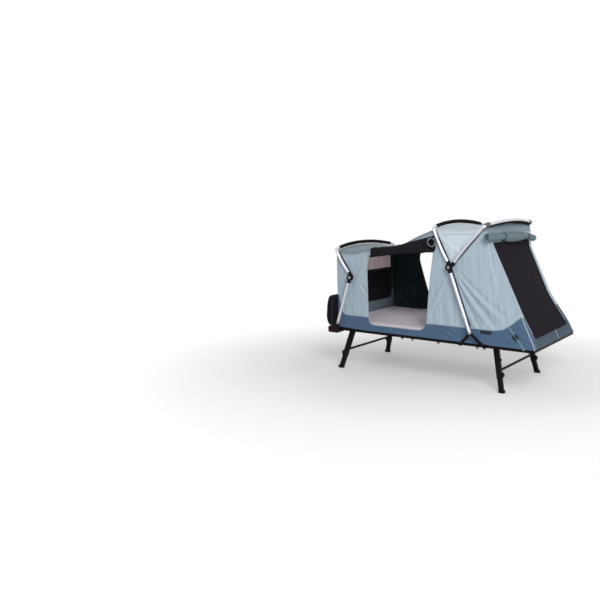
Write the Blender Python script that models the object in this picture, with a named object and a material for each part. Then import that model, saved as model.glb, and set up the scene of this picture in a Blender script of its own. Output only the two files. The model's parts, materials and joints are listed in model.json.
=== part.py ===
"""A tent on a raised platform that rides on a tow hitch and stands on four folding legs.

Metres, +Z up. The tent runs along X from its hitch end (low X) to its outer end (high X), and its front
side faces -Y. The origin is on the ground, under the middle of the whole object. Places along the tent
are stations: distances from the platform's hitch end, turned into X by at().
"""

import bmesh
import bpy
from math import acos, asin, atan2, cos, pi, radians, sin, sqrt
from mathutils import Matrix, Vector

CLEAR = 0.0003
FACE_MARGIN = 0.0005

# Platform
PLATFORM_LENGTH = 2.285
PLATFORM_HALF_WIDTH = 0.655
LEG_HINGE_HEIGHT = 0.430
HINGE_BELOW_RAIL = 0.036
RAIL_HEIGHT = 0.040
RAIL_WIDTH = 0.030
RAIL_WALL = 0.0025
RAIL_BOTTOM = LEG_HINGE_HEIGHT + HINGE_BELOW_RAIL
PLATFORM_TOP = RAIL_BOTTOM + RAIL_HEIGHT
FLOOR_THICKNESS = 0.0115
BEAM_WIDTH = 0.040
MIDDLE_BEAM_STATION = PLATFORM_LENGTH / 2 - 0.0025
BEAM_TOP = PLATFORM_TOP - FLOOR_THICKNESS - CLEAR

# Mattress
MATTRESS_THICKNESS = 0.095
MATTRESS_START = 0.020
MATTRESS_END = PLATFORM_LENGTH - 0.070
MATTRESS_HALF_WIDTH = PLATFORM_HALF_WIDTH - 0.027
MATTRESS_CROWN = 0.010
MATTRESS_PULL = 0.010

# Poles and hoops, each point as (station, height)
POLE_RADIUS = 0.017
POLE_WALL = 0.0025
POLE_SIDES = 8
FABRIC_HALF_WIDTH = PLATFORM_HALF_WIDTH - 0.012
HOOP_PLANE = FABRIC_HALF_WIDTH + 0.025
POLE_PLANE = HOOP_PLANE + 0.038
HOOP_CORNER_RADIUS = 0.045
SLEEVE_WALL = 0.003
SLEEVE_REACH = HOOP_PLANE - 0.038
HUB_RADIUS = 0.036
HUB_THICKNESS = 0.034
STUD_RADIUS = 0.008
STUD_CLEAR = 0.0004
EYE_HALF_WIDTH = 0.016
EYE_REACH = 0.075
POLE_START = 0.046

HITCH_BASE = (0.040, PLATFORM_TOP + 0.048)
HITCH_HUB = (0.198, PLATFORM_TOP + 0.583)
HITCH_CORNER = (-0.024, PLATFORM_TOP + 0.899)
HITCH_RISE = 0.060
OUTER_BASE = (PLATFORM_LENGTH - 0.645, PLATFORM_TOP + 0.100)
OUTER_HUB = (PLATFORM_LENGTH - 0.895, PLATFORM_TOP + 0.761)
MIDDLE_CORNER = (PLATFORM_LENGTH - 1.103, PLATFORM_TOP + 1.168)
MIDDLE_RISE = 0.050
OUTER_CORNER = (PLATFORM_LENGTH - 0.531, PLATFORM_TOP + 1.196)
OUTER_RISE = 0.050
HOOP_BOW = 0.012

BRACKET_THICKNESS = 0.007
BRACKET_BAR = 0.028
OUTER_BRACKET_FEET = (OUTER_BASE[0] - 0.110, OUTER_BASE[0] + 0.150)
BRACKET_FOOT_HEIGHT = 0.026

# Fabric. The doorway's edges are (station past its foot, height above the platform)
FABRIC = 0.003
SKIRT_HEIGHT = 0.138
SKIRT_HITCH_CORNER_RISE = 0.227
SKIRT_OUTER_CORNER_RISE = 0.157
WALL_DROP = 0.066
ROOF_SAG = 0.055
HITCH_WALL_STATION = 0.002
OUTER_WALL_LEAN = 0.466
DOOR_HITCH_BOTTOM = 0.408
DOOR_HITCH_EDGE = ((-0.011, 0.348), (-0.024, 0.614), (-0.027, 0.739), (-0.014, 0.799))
DOOR_HITCH_TOP = DOOR_HITCH_BOTTOM + 0.022
DOOR_OUTER_BOTTOM = PLATFORM_LENGTH - 1.158
DOOR_OUTER_EDGE = (
    (0.004, 0.235),
    (0.013, 0.407),
    (0.023, 0.557),
    (0.035, 0.706),
    (0.054, 0.875),
)
DOOR_OUTER_TOP = DOOR_OUTER_BOTTOM + 0.067
DOOR_SILL = PLATFORM_TOP + 0.054
DOOR_CORNER = 0.110
DOOR_TOP_STRIP = 0.022
ROOF_EDGE_GAP = 0.0028
HITCH_SEAM = PLATFORM_TOP + 0.206
OUTER_SEAM = PLATFORM_TOP + 0.054
SEAM_CORNER = 0.068
OUTER_WINDOW_FRONT = 0.083 - FABRIC_HALF_WIDTH
OUTER_WINDOW_BACK = FABRIC_HALF_WIDTH - 0.128
OUTER_WINDOW_BOTTOM = OUTER_SEAM + 0.017
OUTER_WINDOW_TOP = OUTER_WINDOW_BOTTOM + 0.953
OUTER_WINDOW_CORNER = 0.045
HITCH_WINDOW_HALF_WIDTH = FABRIC_HALF_WIDTH - 0.093
HITCH_WINDOW_BOTTOM = HITCH_SEAM + 0.023
HITCH_WINDOW_TOP = HITCH_WINDOW_BOTTOM + 0.340
HITCH_WINDOW_CORNER = 0.050

# Legs
HITCH_LEG_TOP = 0.0955
HITCH_LEG_FOOT = HITCH_LEG_TOP - 0.1005
OUTER_LEG_TOP = PLATFORM_LENGTH - 0.449
OUTER_LEG_FOOT = OUTER_LEG_TOP + 0.103
LEG_TOP_Y = PLATFORM_HALF_WIDTH - 0.185
LEG_FOOT_Y = LEG_TOP_Y + 0.080
LEG_WIDTH = 0.054
LEG_DEPTH = 0.044
LEG_WALL = 0.0027
LEG_HEAD = 0.012
LEG_TUBE_END = 0.135
INNER_LEG_TOP = 0.120
FOOT_HEIGHT = 0.028
FOOT_LENGTH = 0.064
FOOT_WIDTH = 0.048
CROSSBAR_HEIGHT = LEG_HINGE_HEIGHT / 2
CROSSBAR_RADIUS = 0.0135
HINGE_PIN_RADIUS = 0.006
HINGE_BARREL_RADIUS = 0.014
HINGE_BARREL_LENGTH = 0.076
EAR_THICKNESS = 0.006
EAR_WIDTH = 0.037
EAR_DROP = 0.020
EAR_ROUNDING = 0.0125
KNOB_HEIGHT = LEG_TUBE_END + 0.037
KNOB_RADIUS = 0.021
KNOB_THICKNESS = 0.018
KNOB_STEM_RADIUS = 0.005
KNOB_LOBES = 6
BOLT_HEIGHT = LEG_HINGE_HEIGHT - 0.110
BOLT_RADIUS = 0.011
BOLT_REACH = 0.012

# Hitch end
SHANK_SIZE = 0.0508
SHANK_WALL = 0.006
SHANK_REACH = 0.300
SHANK_INSIDE = 0.080
SLEEVE_TUBE_WALL = 0.0060
SLEEVE_TUBE_START = -0.040
SLEEVE_TUBE_END = 0.240
HITCH_PIN_RADIUS = 0.0079
HITCH_PIN_STATION = -0.220
HITCH_PIN_HANDLE = 0.034
COVER_HALF_LENGTH = PLATFORM_HALF_WIDTH - 0.035
COVER_BOTTOM = PLATFORM_TOP - 0.011
COVER_HEIGHT = 0.371
COVER_DEPTH = 0.178
LIGHT_LENGTH = 0.120
LIGHT_DEPTH = 0.150
LIGHT_TOP = COVER_BOTTOM - 0.0025
LIGHT_BOTTOM = LIGHT_TOP - 0.0725

# Rolled and hanging cloth
DOOR_ROLL_START = (DOOR_HITCH_BOTTOM + 0.057, PLATFORM_TOP + 0.870)
DOOR_ROLL_END = (DOOR_OUTER_BOTTOM + 0.068, PLATFORM_TOP + 1.007)
DOOR_ROLL_RADIUS = 0.052
WINDOW_ROLL_RADIUS = 0.049
WINDOW_ROLL_FRONT = -FABRIC_HALF_WIDTH - 0.002
WINDOW_ROLL_BACK = FABRIC_HALF_WIDTH - 0.113
WINDOW_ROLL_HEIGHT = OUTER_WINDOW_TOP + 0.030
ROLL_TURNS = 2.5
ROLL_CLOTH = 0.012
ROLL_GAP = 0.0025
TIE_WIDTH = 0.025
TIE_THICKNESS = 0.0018
WINDOW_TIE_PLACES = (-0.330, 0.230)
CURTAIN_START = 0.050
CURTAIN_TOP_END = DOOR_HITCH_BOTTOM - 0.078
CURTAIN_BOTTOM_END = DOOR_HITCH_BOTTOM + 0.132
CURTAIN_BOTTOM = PLATFORM_TOP + 0.154
CURTAIN_TOP = PLATFORM_TOP + 0.824
CURTAIN_FOLDS = 7
CURTAIN_FOLD_DEPTH = 0.016
PELMET_BOTTOM = HITCH_WINDOW_TOP + 0.015
PELMET_TOP = PELMET_BOTTOM + 0.172
PELMET_HALF_WIDTH = HITCH_WINDOW_HALF_WIDTH + 0.010
PELMET_FOLDS = 14
PELMET_DEPTH = 0.010
STRAP_WIDTH = 0.025
STRAP_THICKNESS = 0.002
STRAP_TOP = (PLATFORM_LENGTH - 0.267, PLATFORM_TOP + 0.196)
STRAP_BOTTOM = (PLATFORM_LENGTH - 0.119, PLATFORM_TOP + 0.0135)
BUCKLE_LENGTH = 0.042
BUCKLE_WIDTH = 0.036
BUCKLE_THICKNESS = 0.008

RECEIVER_SIZE = SHANK_SIZE + 2 * CLEAR + 2 * SLEEVE_TUBE_WALL
SHANK_MIDDLE = RAIL_BOTTOM - CLEAR - RECEIVER_SIZE / 2
X_OF_PLATFORM = -(PLATFORM_LENGTH - SHANK_REACH) / 2
SIDES = (("front", -1), ("back", 1))
ENDS = (
    ("hitch", HITCH_LEG_TOP, HITCH_LEG_FOOT, -1),
    ("outer", OUTER_LEG_TOP, OUTER_LEG_FOOT, 1),
)


def at(station, y, z):
    """The point at a station along the tent."""
    return Vector((station + X_OF_PLATFORM, y, z))


# Materials


def material(name, colour, roughness, metallic=0.0):
    made = bpy.data.materials.new(name)
    made.use_nodes = True
    shader = made.node_tree.nodes["Principled BSDF"]
    shader.inputs["Base Color"].default_value = (*colour, 1.0)
    shader.inputs["Roughness"].default_value = roughness
    shader.inputs["Metallic"].default_value = metallic
    return made


def clear_scene():
    for old in list(bpy.data.objects):
        bpy.data.objects.remove(old)


clear_scene()
SILVER = material("anodised_aluminium", (0.78, 0.78, 0.82), 0.35, 0.9)
BLACK_METAL = material("black_powder_coat", (0.012, 0.012, 0.014), 0.45, 0.3)
BLACK_PLASTIC = material("black_plastic", (0.010, 0.010, 0.012), 0.5)
WALL_FABRIC = material("pale_blue_fabric", (0.38, 0.47, 0.53), 0.85)
SKIRT_FABRIC = material("slate_blue_fabric", (0.075, 0.14, 0.24), 0.8)
SLEEVE_FABRIC = material("black_webbing", (0.012, 0.012, 0.014), 0.8)
MESH_FABRIC = material("black_mesh", (0.015, 0.014, 0.016), 0.9)
ROLL_FABRIC = material("grey_blue_lining", (0.16, 0.25, 0.27), 0.85)
DARK_LINING = material("dark_lining", (0.02, 0.028, 0.027), 0.9)
BEIGE_FABRIC = material("beige_fabric", (0.55, 0.42, 0.40), 0.9)
MATTRESS_FABRIC = material("pale_mattress_fabric", (0.62, 0.58, 0.64), 0.9)
STRAP_FABRIC = material("blue_webbing", (0.30, 0.42, 0.52), 0.75)
FLOOR_BOARD = material("floor_board", (0.35, 0.35, 0.36), 0.6)
COVER_FABRIC = material("black_cover_fabric", (0.014, 0.014, 0.015), 0.7)
RED_PLASTIC = material("red_lamp", (0.22, 0.01, 0.01), 0.3)


# Mesh helpers


def finish(name, bm, look, smooth=None):
    """Turns a bmesh into a named object with its faces pointing out."""
    bmesh.ops.recalc_face_normals(bm, faces=bm.faces)
    mesh = bpy.data.meshes.new(name)
    bm.to_mesh(mesh)
    bm.free()
    if smooth is not None:
        mesh.shade_smooth()
        mesh.set_sharp_from_angle(angle=radians(smooth))
    made = bpy.data.objects.new(name, mesh)
    made.data.materials.append(look)
    bpy.context.collection.objects.link(made)
    return made


def hide(helper):
    """Marks an object as a cutter or a piece that a Boolean joins to another."""
    helper.hide_render = True
    helper.display_type = "WIRE"
    return helper


def combine(made, helper, operation):
    """Cuts a helper out of an object, or joins it on."""
    hide(helper)
    step = made.modifiers.new(helper.name, "BOOLEAN")
    step.operation = operation
    step.solver = "EXACT"
    step.object = helper


def pivot(name, point, pieces, carrier=None):
    """An empty on a joint's axis, which carries the pieces that move at that joint."""
    made = bpy.data.objects.new(name, None)
    bpy.context.collection.objects.link(made)
    made.location = point
    if carrier:
        made.parent = carrier
        made.matrix_parent_inverse = carrier.matrix_world.inverted()
    bpy.context.view_layer.update()
    for piece in pieces:
        held = bpy.data.objects[piece]
        held.parent = made
        held.matrix_parent_inverse = made.matrix_world.inverted()
    return made


def box(name, low, high, look):
    """A box between two corners."""
    bm = bmesh.new()
    bmesh.ops.create_cube(bm, size=1.0)
    low, high = Vector(low), Vector(high)
    size = high - low
    middle = (low + high) / 2
    for vert in bm.verts:
        vert.co = Vector([middle[k] + vert.co[k] * size[k] for k in range(3)])
    return finish(name, bm, look)


def framed_box(name, frame, low, high, look):
    """A box between two corners in the axes of a frame."""
    made = box(name, low, high, look)
    made.data.transform(frame)
    return made


def plate(name, outer, holes, frame, depth, look, smooth=None):
    """A flat outline with holes, in a frame's X and Y, made depth thick along its Z."""
    bm = bmesh.new()
    edges = []
    for loop in [outer, *holes]:
        ring = [bm.verts.new((u, v, 0.0)) for u, v in loop]
        edges += [bm.edges.new((ring[k - 1], ring[k])) for k in range(len(ring))]
    filled = bmesh.ops.triangle_fill(bm, use_beauty=True, edges=edges)["geom"]
    faces = [f for f in filled if isinstance(f, bmesh.types.BMFace)]
    raised = bmesh.ops.extrude_face_region(bm, geom=faces)["geom"]
    tops = [v for v in raised if isinstance(v, bmesh.types.BMVert)]
    bmesh.ops.translate(bm, verts=tops, vec=(0, 0, depth))
    bmesh.ops.transform(bm, matrix=frame, verts=bm.verts)
    return finish(name, bm, look, smooth)


def side_frame(y):
    """Outlines are (station, height); depth runs towards +Y."""
    return Matrix(((1, 0, 0, X_OF_PLATFORM), (0, 0, 1, y), (0, 1, 0, 0), (0, 0, 0, 1)))


def end_frame(station):
    """Outlines are (y, height); depth runs towards +X."""
    x = station + X_OF_PLATFORM
    return Matrix(((0, 0, 1, x), (1, 0, 0, 0), (0, 1, 0, 0), (0, 0, 0, 1)))


def circle(centre, radius, count=20):
    turn = 2 * pi / count
    return [
        (centre[0] + radius * cos(k * turn), centre[1] + radius * sin(k * turn))
        for k in range(count)
    ]


def rod(name, start, end, radius, look, count=20, bore=None):
    """A round bar, or a tube with a bore of a radius, between two points."""
    start, end = Vector(start), Vector(end)
    turn = (end - start).to_track_quat("Z", "Y").to_matrix().to_4x4()
    frame = Matrix.Translation(start) @ turn
    return plate(
        name,
        circle((0, 0), radius, count),
        [circle((0, 0), bore, count)] if bore else [],
        frame,
        (end - start).length,
        look,
        40,
    )


def rounded(corners, count=5):
    """An outline whose corners, given as (u, v, radius), are rounded by arcs."""
    loop = []
    for k, (u, v, radius) in enumerate(corners):
        here = Vector((u, v))
        before = Vector(corners[k - 1][:2]) - here
        after = Vector(corners[(k + 1) % len(corners)][:2]) - here
        if radius == 0:
            loop.append((u, v))
            continue
        before.normalize()
        after.normalize()
        half = acos(max(-1.0, min(1.0, before.dot(after)))) / 2
        middle = here + (before + after).normalized() * radius / sin(half)
        first = here + before * radius * cos(half) / sin(half) - middle
        last = here + after * radius * cos(half) / sin(half) - middle
        sweep = pi - 2 * half
        for step in range(count + 1):
            share = step / count
            mix = first * sin((1 - share) * sweep) + last * sin(share * sweep)
            loop.append(tuple(middle + mix / sin(sweep)))
    return loop


def rings(path, radius, sides):
    """Rings of points round a path, none of them twisted against the next."""
    path = [Vector(p) for p in path]
    made = []
    ahead = (path[1] - path[0]).normalized()
    side = ahead.orthogonal().normalized()
    if abs(ahead.y) < 0.9:
        side = (Vector((0, 1, 0)) - ahead * ahead.y).normalized()
    for k, point in enumerate(path):
        before = path[max(k - 1, 0)]
        after = path[min(k + 1, len(path) - 1)]
        new = (after - before).normalized()
        side = (ahead.rotation_difference(new) @ side).normalized()
        ahead = new
        other = ahead.cross(side)
        turn = 2 * pi / sides
        made.append(
            [
                point + (side * cos(n * turn) + other * sin(n * turn)) * radius
                for n in range(sides)
            ]
        )
    return made


def skin_rings(bm, loops):
    """Joins rings of points into a tube's wall, and gives back the rings' vertices."""
    verts = [[bm.verts.new(p) for p in loop] for loop in loops]
    for first, second in zip(verts, verts[1:]):
        for k in range(len(first)):
            bm.faces.new((first[k - 1], first[k], second[k], second[k - 1]))
    return verts


def tube(name, path, radius, sides, look):
    """A round bar along a path."""
    bm = bmesh.new()
    verts = skin_rings(bm, rings(path, radius, sides))
    bm.faces.new(verts[0])
    bm.faces.new(verts[-1])
    return finish(name, bm, look, 40)


def sleeve(name, path, inner, outer, sides, look, keep=lambda point: True):
    """A pipe along those points of a path that keep lets through, open at both ends."""
    bm = bmesh.new()
    walls = []
    for radius in (inner, outer):
        loops = rings(path, radius, sides)
        loops = [loop for loop, point in zip(loops, path) if keep(point)]
        walls.append(skin_rings(bm, loops))
    inside, outside = walls
    for end in (0, -1):
        for k in range(sides):
            bm.faces.new(
                (inside[end][k - 1], inside[end][k], outside[end][k], outside[end][k - 1])
            )
    return finish(name, bm, look, 40)


def loft(name, sections, look, smooth=40):
    """A closed shape through outlines that have the same number of points."""
    bm = bmesh.new()
    verts = skin_rings(bm, sections)
    for cap in (verts[0], verts[-1]):
        edges = [bm.edges.get((cap[k - 1], cap[k])) for k in range(len(cap))]
        bmesh.ops.triangle_fill(bm, use_beauty=True, edges=edges)
    return finish(name, bm, look, smooth)


def sheet(name, grid, thickness, look, away):
    """A cloth of even thickness behind a grid of points. away points to its back."""
    rows, columns = len(grid), len(grid[0])
    away = Vector(away)
    back = []
    for i in range(rows):
        line = []
        for j in range(columns):
            along = grid[min(i + 1, rows - 1)][j] - grid[max(i - 1, 0)][j]
            across = grid[i][min(j + 1, columns - 1)] - grid[i][max(j - 1, 0)]
            normal = along.cross(across).normalized()
            if normal.dot(away) < 0:
                normal = -normal
            line.append(grid[i][j] + normal * thickness)
        back.append(line)
    bm = bmesh.new()
    front_verts = [[bm.verts.new(p) for p in line] for line in grid]
    back_verts = [[bm.verts.new(p) for p in line] for line in back]
    for verts in (front_verts, back_verts):
        for i in range(rows - 1):
            for j in range(columns - 1):
                bm.faces.new(
                    (verts[i][j], verts[i][j + 1], verts[i + 1][j + 1], verts[i + 1][j])
                )
    rim = [(0, j) for j in range(columns)]
    rim += [(i, columns - 1) for i in range(1, rows)]
    rim += [(rows - 1, j) for j in range(columns - 2, -1, -1)]
    rim += [(i, 0) for i in range(rows - 2, 0, -1)]
    for k in range(len(rim)):
        a, b = rim[k - 1], rim[k]
        bm.faces.new(
            (
                front_verts[a[0]][a[1]],
                front_verts[b[0]][b[1]],
                back_verts[b[0]][b[1]],
                back_verts[a[0]][a[1]],
            )
        )
    return finish(name, bm, look, 50)


# Platform


ALONG = Matrix(((0, 0, 1, 0), (1, 0, 0, 0), (0, 1, 0, 0), (0, 0, 0, 1)))
ACROSS = Matrix(((1, 0, 0, 0), (0, 0, 1, 0), (0, 1, 0, 0), (0, 0, 0, 1)))


def hollow_bar(name, frame, width, height, wall, length, look):
    """A rectangular pipe centred on a frame's Z axis."""
    outer = [
        (-width / 2, -height / 2),
        (width / 2, -height / 2),
        (width / 2, height / 2),
        (-width / 2, height / 2),
    ]
    inner = [
        (u * (1 - 2 * wall / width), v * (1 - 2 * wall / height)) for u, v in outer
    ]
    return plate(name, outer, [inner], frame, length, look)


def make_rails():
    rail_y = PLATFORM_HALF_WIDTH - RAIL_WIDTH / 2
    middle_z = PLATFORM_TOP - RAIL_HEIGHT / 2
    for side, sign in SIDES:
        start = at(0, sign * rail_y, middle_z)
        hollow_bar(
            f"{side}_rail",
            Matrix.Translation(start) @ ALONG,
            RAIL_WIDTH,
            RAIL_HEIGHT,
            RAIL_WALL,
            PLATFORM_LENGTH,
            BLACK_METAL,
        )
    half = PLATFORM_HALF_WIDTH - RAIL_WIDTH - CLEAR
    ends = (("hitch", RAIL_WIDTH / 2), ("outer", PLATFORM_LENGTH - RAIL_WIDTH / 2))
    for name, station in ends:
        hollow_bar(
            f"{name}_end_rail",
            Matrix.Translation(at(station, -half, middle_z)) @ ACROSS,
            RAIL_WIDTH,
            RAIL_HEIGHT,
            RAIL_WALL,
            2 * half,
            BLACK_METAL,
        )
    box(
        "floor_panel",
        at(RAIL_WIDTH + CLEAR, -half, PLATFORM_TOP - FLOOR_THICKNESS),
        at(PLATFORM_LENGTH - RAIL_WIDTH - CLEAR, half, PLATFORM_TOP),
        FLOOR_BOARD,
    )
    make_beam("middle_cross_beam", MIDDLE_BEAM_STATION)


def make_beam(name, station):
    """A tube across the platform, under its floor, from rail to rail."""
    half = PLATFORM_HALF_WIDTH - RAIL_WIDTH - CLEAR
    height = BEAM_TOP - RAIL_BOTTOM
    frame = Matrix.Translation(at(station, -half, RAIL_BOTTOM + height / 2)) @ ACROSS
    return hollow_bar(name, frame, BEAM_WIDTH, height, RAIL_WALL, 2 * half, BLACK_METAL)


def make_leg_beam(end, station):
    """A cross beam with the ears and pins that a pair of legs turns on."""
    name = f"{end}_cross_beam"
    beam = make_beam(name, station)
    ear_top = RAIL_BOTTOM + RAIL_WALL / 2
    inner_face = LEG_TOP_Y - HINGE_BARREL_LENGTH / 2 - CLEAR
    outer_face = LEG_TOP_Y + HINGE_BARREL_LENGTH / 2 + CLEAR
    for side, sign in SIDES:
        for place, face, way in (("inner", inner_face, -1), ("outer", outer_face, 1)):
            low, high = sorted((sign * face, sign * (face + way * EAR_THICKNESS)))
            outline = rounded(
                [
                    (station - EAR_WIDTH / 2, ear_top, 0),
                    (station - EAR_WIDTH / 2, LEG_HINGE_HEIGHT - EAR_DROP, EAR_ROUNDING),
                    (station + EAR_WIDTH / 2, LEG_HINGE_HEIGHT - EAR_DROP, EAR_ROUNDING),
                    (station + EAR_WIDTH / 2, ear_top, 0),
                ],
                3,
            )
            ear = plate(
                f"{name}_{side}_{place}_ear",
                outline,
                [],
                side_frame(low),
                high - low,
                BLACK_METAL,
            )
            combine(beam, ear, "UNION")
        middle_of_ear = EAR_THICKNESS / 2
        pin = rod(
            f"{name}_{side}_pin",
            at(station, sign * (inner_face - middle_of_ear), LEG_HINGE_HEIGHT),
            at(station, sign * (outer_face + middle_of_ear), LEG_HINGE_HEIGHT),
            HINGE_PIN_RADIUS,
            BLACK_METAL,
            12,
        )
        combine(beam, pin, "UNION")


# Legs


def leg_axes(top, foot, sign):
    """A leg's frame: Z down the leg, X across it along the tent, origin at its hinge."""
    start = at(top, sign * LEG_TOP_Y, LEG_HINGE_HEIGHT)
    end = at(foot, sign * LEG_FOOT_Y, 0)
    down = (end - start).normalized()
    along = (Vector((1, 0, 0)) - down * down.x).normalized()
    across = down.cross(along)
    frame = Matrix.Translation(start) @ Matrix(
        (
            (along.x, across.x, down.x, 0),
            (along.y, across.y, down.y, 0),
            (along.z, across.z, down.z, 0),
            (0, 0, 0, 1),
        )
    )
    return frame, (end - start).length


def along_leg(height, length):
    """How far down a leg from its hinge a height above the ground is."""
    return length * (1 - height / LEG_HINGE_HEIGHT)


def make_leg_frame(end, top, foot, outward):
    """Two outer leg tubes and the crossbar that joins them."""
    name = f"{end}_leg_frame"
    frames = {sign: leg_axes(top, foot, sign) for side, sign in SIDES}
    whole = None
    for side, sign in SIDES:
        frame, length = frames[sign]
        bottom = along_leg(LEG_TUBE_END, length)
        outer = framed_box(
            name if whole is None else f"{name}_{side}_tube",
            frame,
            (-LEG_WIDTH / 2, -LEG_DEPTH / 2, -LEG_HEAD),
            (LEG_WIDTH / 2, LEG_DEPTH / 2, bottom),
            BLACK_METAL,
        )
        if whole is None:
            whole = outer
        else:
            combine(whole, outer, "UNION")
        barrel = rod(
            f"{name}_{side}_barrel",
            at(top, sign * LEG_TOP_Y - HINGE_BARREL_LENGTH / 2, LEG_HINGE_HEIGHT),
            at(top, sign * LEG_TOP_Y + HINGE_BARREL_LENGTH / 2, LEG_HINGE_HEIGHT),
            HINGE_BARREL_RADIUS,
            BLACK_METAL,
            16,
        )
        combine(whole, barrel, "UNION")
        depth = along_leg(BOLT_HEIGHT, length)
        bolt = rod(
            f"{name}_{side}_bolt",
            frame @ Vector((0, 0, depth)),
            frame @ Vector((outward * (LEG_WIDTH / 2 + BOLT_REACH), 0, depth)),
            BOLT_RADIUS,
            BLACK_METAL,
            12,
        )
        combine(whole, bolt, "UNION")
    middles = [
        frames[sign][0] @ Vector((0, 0, along_leg(CROSSBAR_HEIGHT, frames[sign][1])))
        for side, sign in SIDES
    ]
    combine(
        whole,
        rod(f"{name}_crossbar", middles[0], middles[1], CROSSBAR_RADIUS, BLACK_METAL, 12),
        "UNION",
    )
    for side, sign in SIDES:
        frame, length = frames[sign]
        bottom = along_leg(LEG_TUBE_END, length)
        cavity = framed_box(
            f"{name}_{side}_cavity",
            frame,
            (-LEG_WIDTH / 2 + LEG_WALL, -LEG_DEPTH / 2 + LEG_WALL, LEG_HEAD),
            (LEG_WIDTH / 2 - LEG_WALL, LEG_DEPTH / 2 - LEG_WALL, bottom + LEG_HEAD),
            BLACK_METAL,
        )
        combine(whole, cavity, "DIFFERENCE")
        reach = HINGE_BARREL_LENGTH / 2 + LEG_HEAD
        bore = rod(
            f"{name}_{side}_bore",
            at(top, sign * LEG_TOP_Y - reach, LEG_HINGE_HEIGHT),
            at(top, sign * LEG_TOP_Y + reach, LEG_HINGE_HEIGHT),
            HINGE_PIN_RADIUS + STUD_CLEAR,
            BLACK_METAL,
            12,
        )
        combine(whole, bore, "DIFFERENCE")
        depth = along_leg(KNOB_HEIGHT, length)
        stem_hole = rod(
            f"{name}_{side}_stem_hole",
            frame @ Vector((outward * LEG_DEPTH / 2, 0, depth)),
            frame @ Vector((outward * LEG_WIDTH, 0, depth)),
            KNOB_STEM_RADIUS + STUD_CLEAR,
            BLACK_METAL,
            10,
        )
        combine(whole, stem_hole, "DIFFERENCE")


def make_inner_leg(end, side, top, foot, sign):
    """The sliding lower part of a leg, with its flat foot."""
    frame, length = leg_axes(top, foot, sign)
    gap = LEG_WALL + CLEAR
    name = f"{end}_{side}_foot"
    inner = hollow_bar(
        name,
        frame @ Matrix.Translation((0, 0, INNER_LEG_TOP)),
        LEG_WIDTH - 2 * gap,
        LEG_DEPTH - 2 * gap,
        LEG_WALL,
        along_leg(FOOT_HEIGHT / 2, length) - INNER_LEG_TOP,
        BLACK_METAL,
    )
    pad = plate(
        f"{name}_pad",
        rounded(
            [
                (foot - FOOT_LENGTH / 2, sign * LEG_FOOT_Y - FOOT_WIDTH / 2, 0.008),
                (foot + FOOT_LENGTH / 2, sign * LEG_FOOT_Y - FOOT_WIDTH / 2, 0.008),
                (foot + FOOT_LENGTH / 2, sign * LEG_FOOT_Y + FOOT_WIDTH / 2, 0.008),
                (foot - FOOT_LENGTH / 2, sign * LEG_FOOT_Y + FOOT_WIDTH / 2, 0.008),
            ],
            3,
        ),
        [],
        Matrix.Translation((X_OF_PLATFORM, 0, 0)),
        FOOT_HEIGHT,
        BLACK_PLASTIC,
    )
    combine(inner, pad, "UNION")


def make_knob(end, side, top, foot, sign, outward):
    """The screw knob that clamps a leg at its length."""
    frame, length = leg_axes(top, foot, sign)
    depth = along_leg(KNOB_HEIGHT, length)
    name = f"{end}_{side}_knob"
    axis_start = frame @ Vector((outward * (LEG_WIDTH / 2 + FACE_MARGIN), 0, depth))
    away = (frame.to_3x3() @ Vector((outward, 0, 0))).normalized()
    turn = away.to_track_quat("Z", "Y").to_matrix().to_4x4()
    count = KNOB_LOBES * 4
    outline = [
        (
            KNOB_RADIUS * (0.93 + 0.07 * cos(KNOB_LOBES * k * 2 * pi / count)) * cos(k * 2 * pi / count),
            KNOB_RADIUS * (0.93 + 0.07 * cos(KNOB_LOBES * k * 2 * pi / count)) * sin(k * 2 * pi / count),
        )
        for k in range(count)
    ]
    knob = plate(
        name,
        outline,
        [],
        Matrix.Translation(axis_start) @ turn,
        KNOB_THICKNESS,
        BLACK_PLASTIC,
        40,
    )
    stem = rod(
        f"{name}_stem",
        frame @ Vector((outward * (LEG_WIDTH / 2 - LEG_WALL + FACE_MARGIN), 0, depth)),
        axis_start + away * KNOB_THICKNESS / 2,
        KNOB_STEM_RADIUS,
        BLACK_METAL,
        10,
    )
    combine(knob, stem, "UNION")


# Poles and hoops


def direction(start, end):
    return atan2(end[1] - start[1], end[0] - start[0])


def distance(start, end):
    return sqrt((end[0] - start[0]) ** 2 + (end[1] - start[1]) ** 2)


def eye_outline(pivot, angle, reach, half_width):
    """A bar that starts as a half circle round a pivot and runs off along an angle."""
    count = 8
    loop = [
        (
            pivot[0] + half_width * cos(angle + pi / 2 + k * pi / count),
            pivot[1] + half_width * sin(angle + pi / 2 + k * pi / count),
        )
        for k in range(count + 1)
    ]
    for side in (-1, 1):
        loop.append(
            (
                pivot[0] + reach * cos(angle) - side * half_width * sin(angle),
                pivot[1] + reach * sin(angle) + side * half_width * cos(angle),
            )
        )
    return loop


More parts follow.
